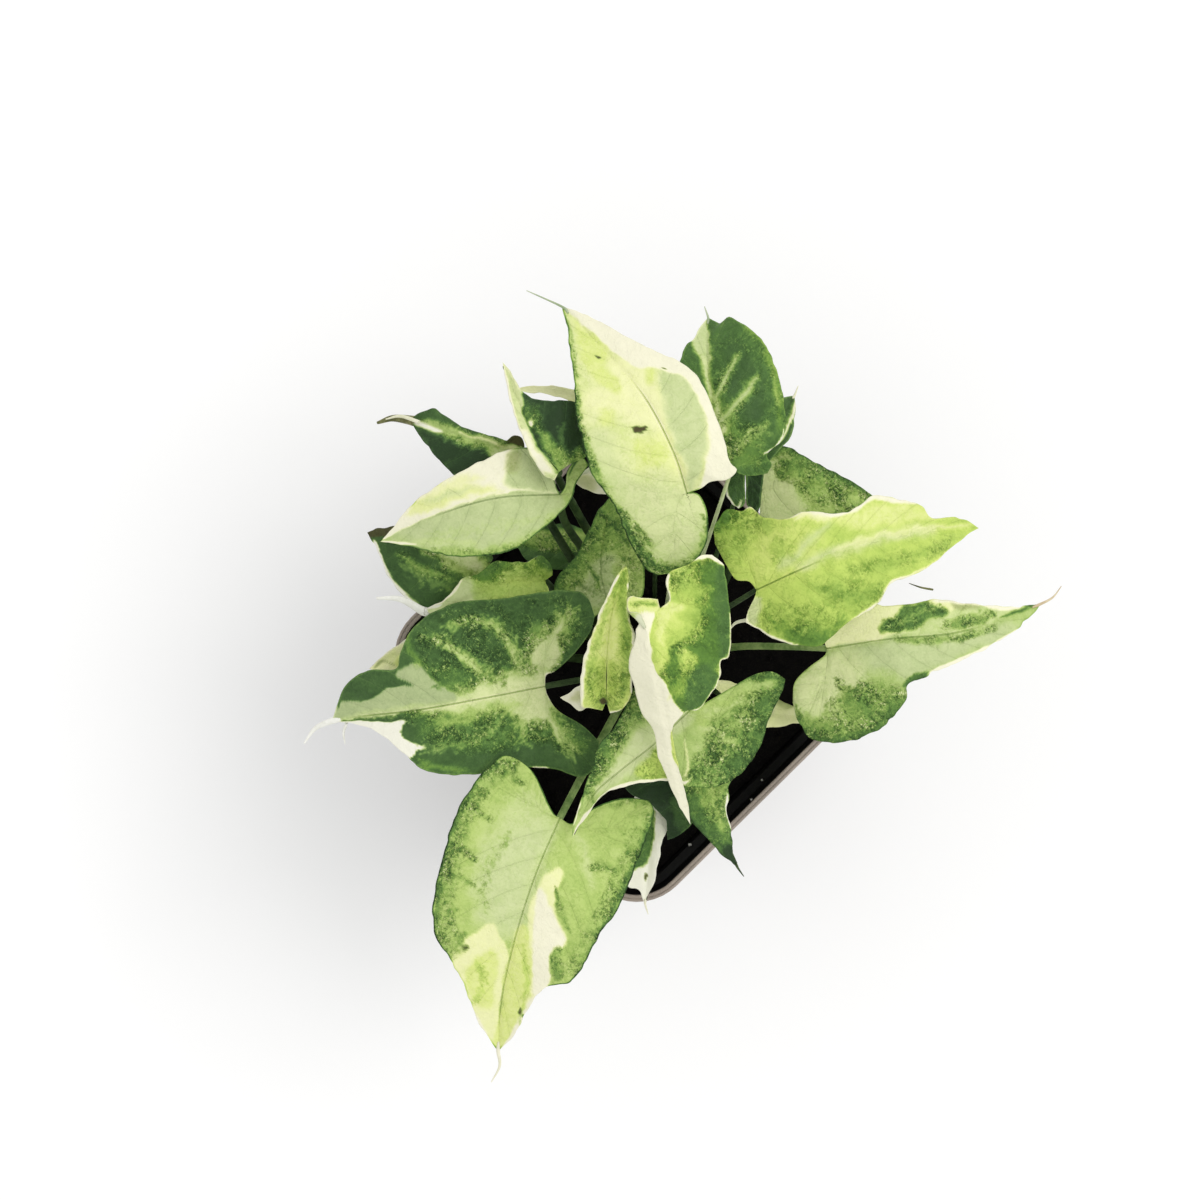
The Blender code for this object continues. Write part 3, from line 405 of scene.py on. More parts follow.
leaves["leaf_01"] = dict(
    base="ivoryGreen", hem=0.85, sheath="pale", tailTone="mist", ribLine=(0.9, 0.42, 0.62), sag=0.006,
    drop=0.25, wave=0.5,
    stalk=[(8, 10), (9, 18, 35), (11.5, 36, 68)],
    rib=[(13.3, 44.5, 80), (9.5, 56, 84), (1.5, 71, 82), (-10, 84, 76), (-20.5, 95, 68)],
    left=[(16.5, 44.2), (18.6, 40), (19, 34), (18, 30), (15, 26), (9, 22.8), (4, 23), (0.5, 26.5), (-3, 33),
        (-6, 40.5), (-10, 46.5), (-12.5, 50), (-14.5, 57), (-16.5, 65), (-17, 74), (-18, 82), (-19.5, 91)],
    right=[(16.5, 45.8), (20.5, 48), (24, 48.3), (26.5, 50.6), (24.5, 53.5), (23.3, 59), (20.5, 67),
        (16.5, 75.5), (11, 80), (4, 83.3), (-6, 88.5), (-14, 92.8)],
    tail=[(-30, 99.3, 64)],
    patches=[
        ("pale", 7, [(13, 46), (20, 44), (20, 32), (16, 25), (8, 21), (-1, 24), (-6, 36), (-12, 47),
            (-14, 60), (-9, 62), (-3, 50), (6, 48)]),
        ("sage", 1.6, [(7, 78), (11, 78), (15.5, 73), (17.8, 66.5), (18.7, 59), (17.7, 53.5), (15.3, 48),
            (13.8, 46), (10.5, 56), (7, 65), (6.2, 72)]),
        ("ivory", 3.5, [(-10, 82), (1, 79), (5.5, 72), (8.5, 62), (12.5, 50), (9, 53), (3, 62), (-4, 66),
            (-13, 67), (-14, 72), (-6, 73), (-8, 78)]),
        ("ivory", 3, [(-6, 75), (2, 78), (5, 72), (4, 63), (-1, 64), (-8, 69)]),
        ("honey", 4, [(5, 60), (8, 60), (12, 51), (9, 52)]),
        ("citron", 2.6, [(-16.5, 91), (-12, 86.5), (-8, 84), (-9, 79), (-5, 75), (-5, 72), (-9, 73),
            (-13, 78), (-16, 84)]),
        ("citron", 3.4, [(-1, 58), (4, 59.5), (8.5, 57), (8, 53), (4, 51), (0, 53)]),
        ("citron", 1.4, [(2, 78), (4, 78), (4.5, 75), (2.5, 74.5)]),
        ("citron", 2.4, [(-10, 67), (-6, 66.5), (-7, 64), (-10, 64.5)]),
        ("cream", 0.9, [(-21, 95.5), (-10, 91), (4, 85), (12, 81), (18, 77), (22, 68), (25, 59), (25.5, 54),
            (28, 50.5), (24, 47), (20, 47), (16.4, 45.2), (17.5, 49), (18.7, 54), (19.5, 60), (17.6, 67.5),
            (15, 72.5), (11.5, 76.4), (6, 77.8), (1, 78.4), (-3, 80.2), (-8, 83.6), (-14, 89.4)]),
        ("rust", 0.25, [(-0.9, 62.4), (2.3, 62.5), (1.3, 61.1), (-0.8, 60.9)]),
        ("rust", 0.3, [(-11.3, 81.8), (-10.2, 81.3), (-10.5, 80.9)]),
        ("rust", 0.3, [(6.9, 78.6), (7.4, 78), (7, 77.8)])],
    streaks=[
        ("palePlain", 6, 2.6, [(-10, 52), (-6, 43), (-2, 35), (3, 29), (10, 26), (17, 31), (18, 37)]),
        ("freshDust", 3.6, 1.6, [(-7.5, 44), (-3.6, 35), (0, 28.6), (5, 24.4), (11, 23.8), (16, 27),
            (18.6, 33)]),
        ("mossDust", 2.4, 1.2, [(-5.6, 41), (-2.6, 34.5), (1, 28.6), (4.6, 25), (9, 24)]),
        ("deepDust", 1.6, 0.9, [(-4.8, 39.5), (-2.5, 34), (1, 28.5), (4, 25), (8, 24), (12, 23.8)]),
        ("mossDust", 1.6, 0.6, [(-1, 37), (1.5, 33), (4, 30)]),
        ("mossDust", 2.6, 0.9, [(-9, 46), (-13.5, 55), (-16, 64), (-16.6, 72)]),
        ("freshDust", 1.2, 0.4, [(-19.2, 92), (-17.6, 84), (-16.6, 76)])],
    feathers=[
        ("deepDust", 0.75, 0.25, [(-6.6, 41), (-3, 33.6), (0.6, 27), (4.4, 23.6), (9, 23.2), (14, 25.6),
            (18, 30), (18.8, 38)], 130, 2.4),
        ("deepDust", 0.6, 0.25, [(-16.6, 72), (-16, 64), (-14, 55), (-9, 45), (-4, 35)], 110, 2.2),
        ("moss", 0.4, 0.1, [(-17.4, 84), (-16.6, 74), (-16.2, 64)], 40, 1.6),
        ("mossDust", 0.6, 0.25, [(18.6, 44), (20.4, 38), (19.4, 30), (15, 25)], 60, 2.2),
        ("deepDust", 0.6, 0.2, [(-3, 31), (2, 26), (6, 25)], 50, 4)])
leaves["leaf_02"] = dict(
    base="deep", hem=-0.3, sheath="pale", slim=0.5, tailTone="mist", fold=0.12, sag=0.008, drop=0.2,
    wave=0.6,
    stalk=[(12, 13), (15.5, 22, 36), (21, 38, 58)],
    rib=[(25.5, 51.5, 66), (21.5, 62, 69), (19, 74, 68), (18.5, 84, 64), (19, 92, 58)],
    left=[(23.5, 48.6), (18.5, 48.3), (14, 53.5), (12, 62), (11, 70), (11, 78), (11.8, 82), (13.3, 85),
        (15, 86), (16.3, 89)],
    right=[(27.5, 49.8), (31, 49.3), (35, 50), (36.2, 52.5), (34.8, 55), (38, 58), (39.6, 62), (39.6, 69),
        (38, 75.5), (36, 81.5), (33, 86.5), (28, 90.5), (24.5, 92.3), (22, 90.5)],
    tail=[(18, 95, 56)],
    patches=[
        ("dark", 4, [(24, 86), (31, 82), (34, 74), (33, 64), (27, 64), (23, 74)]),
        ("deepLight", 5, [(20, 68), (24, 68), (29, 62), (34, 58), (30, 52), (24, 52), (20, 60)]),
        ("mossDust", 3, [(24, 54), (26, 53.5), (28.6, 55.6), (29, 57.6), (26, 59), (24, 60)]),
        ("pale", 1.6, [(22, 60), (21, 66), (18.6, 72), (17, 80), (15.3, 85), (15.3, 88.5), (18.2, 91.5),
            (18.9, 89), (19.4, 82), (19.8, 76), (21.4, 70), (24, 62)]),
        ("sage", 1.4, [(15.3, 85.3), (15.3, 88.5), (18.2, 91.5), (19, 87), (19, 80)])],
    streaks=[
        ("leafGreen", 2.6, 1.2, [(29, 90.5), (34, 85), (37, 77), (38.6, 68), (38.8, 62)]),
        ("fresh", 1.4, 0.3, [(36, 77), (37.4, 72), (37.6, 68)]),
        ("moss", 3, 0.9, [(20.6, 69), (24, 76.5), (27.2, 82)]),
        ("moss", 3, 1, [(22, 63.5), (27, 69.5), (32, 76)]),
        ("mist", 0.8, 0.5, [(22, 63.5), (27, 69.5), (32, 75.6)]),
        ("mist", 0.8, 0.45, [(20.8, 69.5), (24, 76.5), (27, 81.4)]),
        ("moss", 2.4, 0.8, [(27, 58), (30, 61), (35, 63)]),
        ("freshGrey", 0.9, 0.2, [(27.5, 58.8), (31, 61.4), (34.5, 62.8)]),
        ("deepLight", 1.6, 0.8, [(27, 52.5), (31, 53.5)]),
        ("white", 0.3, 0.3, [(34, 55.4), (36.6, 56.6), (38.6, 58.8), (39.8, 62)])],
    feathers=[
        ("freshGrey", 0.6, 0.1, [(22, 63.5), (27, 69.5), (32, 76)], 44, 2.6),
        ("freshGrey", 0.5, 0.1, [(20.6, 69), (24, 76.5), (27.2, 82)], 34, 2.2),
        ("mistDust", 0.7, 0.15, [(24, 55.5), (29, 58.6), (35, 62)], 40, 2.6),
        ("palePlain", 0.6, 0.1, [(21.5, 60), (20.4, 68), (19.6, 78), (19.2, 86)], 34, 2.2)])
leaves["leaf_03"] = dict(
    base="dark", hem=-0.6, slim=0.6, tailTone="cream", fold=0.05, sag=0.006, wave=0.3,
    stalk=[(16, 14.5), (20.5, 26, 30), (26, 42, 47)],
    rib=[(29, 52, 54), (35, 60.5, 56), (39.5, 67, 53), (42.3, 71, 49)],
    left=[(28.9, 47), (28.9, 42), (27.2, 40.4), (24.3, 44), (24.2, 50), (26, 58), (31, 65), (37.5, 70)],
    right=[(29.2, 47), (29.3, 42), (31.2, 39.4), (33.2, 41.5), (33.4, 47), (35, 52.5), (40, 58), (41.8, 62),
        (42.4, 67)],
    tail=[(43.3, 73.6, 47)],
    patches=[
        # the near-black patch is painted shade, where the lobe reaches over a gap that lies in deep shade
        ("night", 1, [(29.6, 49), (29.8, 44), (30.6, 38), (34, 38), (34, 49), (32, 51)])],
    streaks=[
        ("moss", 1.2, 0.5, [(38, 61), (41, 65), (42, 69)]),
        ("cream", 0.4, 0.4, [(38, 58), (41, 63.5), (42.8, 70)]),
        ("white", 0.4, 0.35, [(24.3, 47), (24.2, 44), (26.8, 40.8), (28.3, 43)])])
leaves["leaf_04"] = dict(
    base="palePlain", hem=0.3, fold=0.08, sag=0.008,
    stalk=[(18, 9.5), (24, 22, 24), (30.5, 37, 38)],
    rib=[(33.5, 45.5, 44), (44, 47, 47), (56, 45, 45), (65.5, 42, 40)],
    left=[(32.2, 47.5), (32.4, 51), (35.5, 55.5), (39, 57.2), (44, 55.3), (50, 51.8), (57, 48.3),
        (62, 44.8)],
    right=[(33, 42), (33, 38), (38, 34.5), (46, 35), (55, 38), (61, 40)],
    patches=[
        ("pale", 5, [(32, 50), (32, 38), (40, 35), (46, 40), (43, 47), (37, 52)]),
        ("moss", 2.4, [(37, 52.5), (42, 54), (45, 51), (42, 48), (38, 49)]),
        ("freshDust", 5, [(44, 50), (62, 44), (62, 38), (50, 38), (44, 42)])],
    streaks=[
        ("deepDust", 3, 1.6, [(35, 55), (40, 57), (45, 54.7), (52, 51), (58, 47.3), (63, 43.8)]),
        ("mossDust", 2.4, 0.8, [(42, 49), (49, 47.5), (56, 44.5)]),
        ("mossDust", 1.4, 0.6, [(50, 38.5), (56, 40), (61, 42)])],
    feathers=[
        ("deepDust", 0.7, 0.3, [(38, 52.5), (46, 51), (55, 46.5)], 120, 3.4),
        ("mossDust", 0.6, 0.25, [(40, 48), (50, 44), (60, 41)], 90, 3.6)])
leaves["leaf_05"] = dict(
    base="lime", hem=-0.1, slim=0.7, ribLine=(0.9, 0.2, 0.36), fold=0.12, sag=0.006, drop=0.15, wave=0.9,
    stalk=[(13, 5.5), (20, 11, 42)],
    rib=[(32, 18.5, 66), (45, 24.5, 70), (60, 30.5, 67), (77, 34, 59), (92, 35.2, 48)],
    left=[(30, 20.8), (26.5, 21.3), (24, 25), (20.8, 31), (20.8, 35.5), (24, 40.3), (27.5, 39.8),
        (30.5, 40.9), (33.5, 38.3), (40, 37.8), (45, 39.8), (53, 39.2), (58.5, 40.3), (63.5, 43.8),
        (70, 43), (76.5, 41.3), (79.5, 38), (87.5, 37.8)],
    right=[(31.5, 16.5), (29.8, 13), (29, 9.8), (32.5, 7.8), (37.5, 5), (43, 3.7), (49, 3.2), (52, 5.5),
        (57, 10), (62, 13), (65.5, 15.5), (68.5, 20.3), (74, 22.5), (80, 26), (85.5, 30.5), (89, 33.6)],
    patches=[
        ("limeShade", 8, [(19, 36), (22, 42), (30, 42), (31, 34), (27, 28), (20, 29)]),
        ("emerald", 5, [(18, 40), (22, 43), (25.5, 41), (25, 36.5), (20, 35)]),
        ("limePale", 6, [(34, 34), (46, 38), (52, 33), (44, 24), (34, 20), (30, 26)]),
        ("citron", 4, [(52, 39), (60, 41), (70, 43), (77, 41), (80, 38), (70, 36), (60, 34.5)]),
        ("limeShade", 6, [(35, 13), (44, 14), (52, 12), (55, 9), (51, 3), (44, 2), (36, 5)]),
        ("leafGreen", 5, [(41, 7.6), (46, 8.6), (51, 6), (48, 2.4), (42, 3)]),
        ("limeShade", 6, [(49, 20), (57, 20.5), (66, 19), (68, 16), (60, 12), (52, 15)]),
        ("limeDust", 3, [(29, 37), (33, 38), (34, 34), (31, 32)]),
        ("limeDust", 4, [(36, 31), (40, 32), (41, 26), (37, 26)]),
        ("pale", 2.4, [(28.5, 14), (28.5, 9), (31, 8), (32.5, 12), (32.5, 17)])],
    streaks=[
        ("palePlain", 4, 1, [(38, 24), (43, 28), (48, 33), (51.5, 37)]),
        ("pale", 4, 1.3, [(44, 25), (56, 29.6), (68, 33), (80, 35)]),
        ("ivory", 2.4, 0.5, [(54, 29), (62, 32.2), (72, 34.6), (89, 36)]),
        ("limeShade", 3.4, 1.2, [(57, 24), (68, 25.6), (76, 28), (84, 31.5)]),
        ("cream", 0.4, 0.55, [(29, 40.4), (31, 40.9), (33, 39)]),
        ("cream", 0.9, 0.9, [(40, 38.3), (45, 39.8), (49, 39.2), (54, 39.4), (58.5, 40.7), (63.5, 43.6),
            (70, 43), (75, 42)]),
        ("ivory", 2, 0.8, [(42, 37.6), (46, 38.6), (52, 38)]),
        ("cream", 0.6, 0.6, [(29.8, 17), (28.8, 12), (29.4, 9.2), (32.5, 7.6), (37.5, 5), (43, 3.6)]),
        ("cream", 0.6, 0.5, [(55, 8), (60, 11.5), (65.5, 15.5), (68.5, 20.3), (74, 22.4)]),
        ("ivory", 0.7, 0.4, [(74, 22.4), (80, 25.8), (85.5, 30.3)])],
    feathers=[
        ("emerald", 0.6, 0.35, [(36, 10), (42, 7), (51, 6), (55, 10)], 90, 4),
        ("emerald", 0.7, 0.4, [(43, 4.6), (48, 4), (52, 6)], 50, 3),
        ("leafGreen", 0.6, 0.25, [(48, 19), (58, 17), (66, 17.5)], 80, 4),
        ("leafGreen", 0.5, 0.25, [(28, 35), (31, 37), (35, 36)], 30, 3),
        ("emerald", 0.6, 0.3, [(21, 34), (22, 39), (27, 39)], 40, 3),
        ("limeShade", 0.6, 0.3, [(58, 24.4), (70, 26.4), (84, 31)], 40, 3),
        ("limePale", 0.6, 0.2, [(24, 30), (27, 36), (30, 39)], 20, 4)],
    spurs=[
        ("cream", 0.45, [(29.4, 10.4, 62), (26.4, 9.6, 60), (24.4, 7.4, 58)])])
leaves["leaf_06"] = dict(
    base="freshGrey", hem=0.2, sheath="moss", slim=0.85, tailTone="tan", ribLine=(0.6, 0.5, 0.75),
    sag=0.006, drop=0.2, wave=0.6, frill=0.5,
    stalk=[(16, 1.5), (27, 3.2, 24), (40, 3.2, 42)],
    rib=[(51, 2.7, 50), (68, 5.3, 55), (85, 6.8, 52), (98, 10.5, 46), (108.7, 14.7, 40)],
    left=[(50, 6), (50.5, 10.5), (55, 13.5), (62, 14.6), (71, 14.6), (80, 16.2), (90, 14.9), (99, 13.8),
        (105, 14.2)],
    right=[(50.3, 0.8), (46, -2.5), (42.3, -6.5), (41.8, -12), (43.5, -18), (47.5, -22.2), (55, -22.3),
        (62, -20.6), (68.5, -16), (72.6, -10.5), (73, -7), (79, -4.2), (85.5, -1), (91.5, 1.5), (97, 4.7),
        (102.5, 8), (107, 12.3)],
    tail=[(112, 16.5, 38), (114.3, 19.5, 37)],
    patches=[
        ("mist", 5, [(56, 3), (72, 5.4), (85, 6.6), (98, 9), (103, 8), (97, 4), (89, 1), (80, -3.5),
            (72, -5), (60, -2)]),
        ("pale", 5, [(42, -8), (46, -2.6), (51, 1.5), (60, 1), (61, -6), (57, -12), (50, -15), (43, -14)]),
        ("mossDust", 4, [(43, -17), (46, -23.5), (55, -24), (64, -22), (71, -15), (74, -10), (68, -8),
            (62, -7), (58, -9), (54, -6.6), (55, -12), (52, -16)]),
        ("ivory", 1.2, [(50, 3.6), (51, 10), (56, 13.6), (64, 15), (72, 15), (80, 17), (90, 16), (84, 12),
            (78, 8.2), (72, 6.6), (60, 4.4)]),
        ("palePlain", 2.4, [(70, 7), (80, 12), (84, 13), (100, 13), (98, 10.6), (86, 7.4)]),
        ("deepDust", 1.5, [(65.6, 7.6), (69, 11.6), (73, 14.2), (78, 15.2), (83, 13.6), (82.4, 11.8),
            (79, 11), (76, 9.2), (71, 7.2)]),
        ("mossDust", 1.4, [(82, 9), (87, 11), (91, 11.6), (95.5, 12.8), (96.5, 12), (93, 10), (87, 8.4)]),
        ("tan", 1.4, [(84, 15.4), (88, 15.5), (93, 14.3), (90, 12.9), (86, 13.4)]),
        ("deep", 1, [(71.6, -7.4), (73.5, -4.2), (79, -3.4), (76, -6)])],
    streaks=[
        ("moss", 2.4, 0.5, [(70, 4.6), (84, 5.2), (96, 8)]),
        ("deepDust", 1.8, 0.9, [(45, -20), (52, -22), (60, -20.7), (66, -17.3), (70.5, -13)]),
        ("dark", 0.5, 0.25, [(50.6, 6.6), (51, 10), (55, 13.2), (62, 14.4)]),
        ("cream", 0.5, 1, [(79, -4), (84, -2), (88, -0.5), (92, 1.2), (97, 4), (102.5, 7.4)]),
        ("cream", 0.3, 0.3, [(69.4, -9.6), (73, -9.4)]),
        ("cream", 0.8, 0.6, [(80, 15.9), (90, 15), (98, 13.6), (104, 13.8)]),
        ("deepDust", 0.8, 0.4, [(98, 11.2), (103, 12.8), (108, 15)])],
    feathers=[
        ("deepDust", 0.7, 0.3, [(57, -7), (61, -12), (66, -17), (70, -12)], 120, 4),
        ("deepDust", 0.75, 0.3, [(42.4, -12), (45, -19), (52, -22), (62, -20), (70, -14)], 140, 3),
        ("mossDust", 0.6, 0.2, [(50, -15), (54, -12), (58, -14)], 60, 3),
        ("deepDust", 0.6, 0.2, [(67, 9), (74, 12.4), (81, 13.6)], 50, 1.8),
        ("mossDust", 0.7, 0.2, [(82, 10), (90, 11.2), (96, 12.4)], 30, 1.6),
        ("pale", 0.6, 0.15, [(70, 9), (76, 12.4), (81, 14)], 26, 2)],
    spurs=[
        ("olive", 0.28, [(79.6, 18.6, 44), (76.4, 19.2, 46), (73.2, 20.3, 47)])])
leaves["leaf_07"] = dict(
    base="dark", hem=-0.45, slim=0.8, tailTone="white", tailWide=1, ribLine=(0.8, 0.6, 0.95), fold=0.12,
    sag=0.006,
    stalk=[(-7.5, -4.5), (-14, -5.5, 34)],
    rib=[(-25, -7.5, 48), (-42, -10.8, 52), (-60, -14, 48), (-74, -15.5, 41), (-82.5, -16.8, 36)],
    left=[(-24.3, -10), (-21.5, -14), (-15, -18), (-10.5, -22.3), (-10.8, -27), (-14.5, -32), (-21, -30.3),
        (-30, -29.3), (-40, -31), (-50, -31.4), (-57, -30.3), (-63, -26), (-68, -21.3), (-75, -18)],
    right=[(-24.7, -4.5), (-22, -3.2), (-17, 1.5), (-13, 7), (-11.6, 11.5), (-14, 17), (-20, 18.5),
        (-28, 17.6), (-37, 16.2), (-46, 15.6), (-54, 13.3), (-60.5, 8.5), (-64.2, 1.5), (-65.5, -2.8),
        (-72, -3), (-77, -5.2), (-80.3, -10)],
    tail=[(-87, -18.8, 33), (-90, -22.8, 31)],
    patches=[
        ("darkDust", 5, [(-60, 7), (-50, 10), (-40, 12), (-30, 13), (-17, 14), (-15, 7), (-22, 2),
            (-40, -5), (-55, -6)]),
        ("deepDust", 4, [(-28, -12), (-40, -13), (-55, -17), (-58, -21), (-45, -25), (-30, -22), (-16, -25),
            (-14, -21), (-22, -14)]),
        ("deepDust", 4, [(-27, -7), (-36, -3), (-46, -2), (-58, -4), (-62, -16), (-50, -19), (-38, -18),
            (-30, -22), (-22, -20), (-23, -10)]),
        ("mossDust", 4, [(-25, -6), (-31, 0), (-29, 7), (-23, 11), (-18, 12), (-18, 6), (-22, 0)]),
        ("palePlain", 4, [(-24.5, -4), (-31, -3), (-38, -5), (-46, -7.6), (-58, -9.5), (-60, -15),
            (-48, -14.5), (-41, -14), (-34, -14.6), (-29, -18), (-25, -17), (-23, -10)]),
        ("pale", 2.4, [(-23.5, -5), (-29, -1), (-27.6, 3.6), (-23, 6), (-20.6, 4), (-21, 0), (-24, -3),
            (-32, -5.4), (-42, -8.4), (-54, -10.5), (-56, -14.5), (-44, -12.4), (-34, -11.8), (-29, -16),
            (-25, -16), (-24.5, -12)]),
        ("mistDeep", 0.8, [(-59.5, -1), (-64.5, -3), (-66, -6.5), (-68, -8), (-72, -11), (-76, -11.5),
            (-79, -10.5), (-82, -13.5), (-83, -16.5), (-70, -16), (-60, -14.3), (-50, -12), (-49.5, -9),
            (-54, -7), (-57, -4)]),
        ("dark", 0.5, [(-80.8, -13.5), (-81.5, -8), (-78, -4), (-73, -2), (-68, -2.5), (-65, -5.2),
            (-60.4, -7.4), (-67, -7.7), (-71.5, -10.5), (-75, -9.6), (-76.5, -11.5), (-79.5, -11.6)]),
        ("white", 0.3, [(-62.6, -16.8), (-70, -17), (-80, -17), (-84, -17.5), (-75, -20.5), (-68, -23.5),
            (-62, -27), (-60, -25), (-57.5, -24), (-63, -21.6), (-63.6, -19)])],
    streaks=[
        ("pale", 2.4, 0.6, [(-26, -7.6), (-42, -10.6), (-60, -13.8), (-80, -16.3)]),
        ("darkDust", 3, 0.8, [(-60, 5), (-50, 12.6), (-36, 14.4), (-22, 16), (-14, 13)]),
        ("mossDust", 3, 0.5, [(-28, -4), (-32, -1), (-35, 4), (-39, 8.5), (-44, 10.6), (-51, 9)]),
        ("mossDust", 3, 0.5, [(-36, -7), (-41, -4), (-47, 0.5), (-53, 4.5), (-58, 6)]),
        ("palePlain", 1.8, 0.4, [(-27, -5.5), (-31, -3), (-34, 2.5), (-37.6, 7.4)]),
        ("palePlain", 1.8, 0.5, [(-36, -7), (-41, -4), (-47, 0.5), (-52, 3.8)]),
        ("pale", 1.4, 0.9, [(-25, -1), (-23, 5), (-20.6, 10)]),
        ("pale", 1.8, 0.6, [(-26, -10), (-24, -16), (-20.6, -22)]),
        ("fresh", 2.6, 0.3, [(-36, -13.6), (-44, -16), (-52, -17.5)]),
        ("leafGreen", 1.8, 0.6, [(-46, -30), (-53, -30), (-60, -27.5)]),
        ("leafGreen", 2.2, 0.5, [(-62, 6), (-61, 1), (-57, -2)]),
        ("cream", 0.25, 0.2, [(-24.5, -29.7), (-32, -29.6)])],
    feathers=[
        ("palePlain", 0.85, 0.2, [(-25, -4), (-25, 2), (-22, 8), (-19, 12)], 70, 5),
        ("palePlain", 0.8, 0.2, [(-27, -4), (-31, -1), (-34, 4), (-38, 8.5), (-45, 10), (-52, 8)], 90, 3.4),
        ("palePlain", 0.8, 0.2, [(-34, -6), (-41, -4), (-47, 0.5), (-53, 4.5)], 80, 4),
        ("palePlain", 0.8, 0.2, [(-25, -11), (-22, -17), (-18, -24)], 60, 4.6),
        ("pale", 0.8, 0.2, [(-27, -11), (-31, -16), (-31, -22)], 40, 3.6),
        ("fresh", 0.8, 0.2, [(-31, -12), (-42, -14.6), (-54, -17)], 90, 4.4),
        ("freshGrey", 0.7, 0.15, [(-36, -16), (-42, -21), (-50, -24), (-57, -24.3)], 60, 3),
        ("deep", 0.8, 0.3, [(-56, -8), (-46, -5), (-38, -4)], 26, 3)],
    spurs=[
        ("white", 0.4, [(-78.6, -17.4, 36), (-79.4, -20, 34), (-79, -23, 33)])])
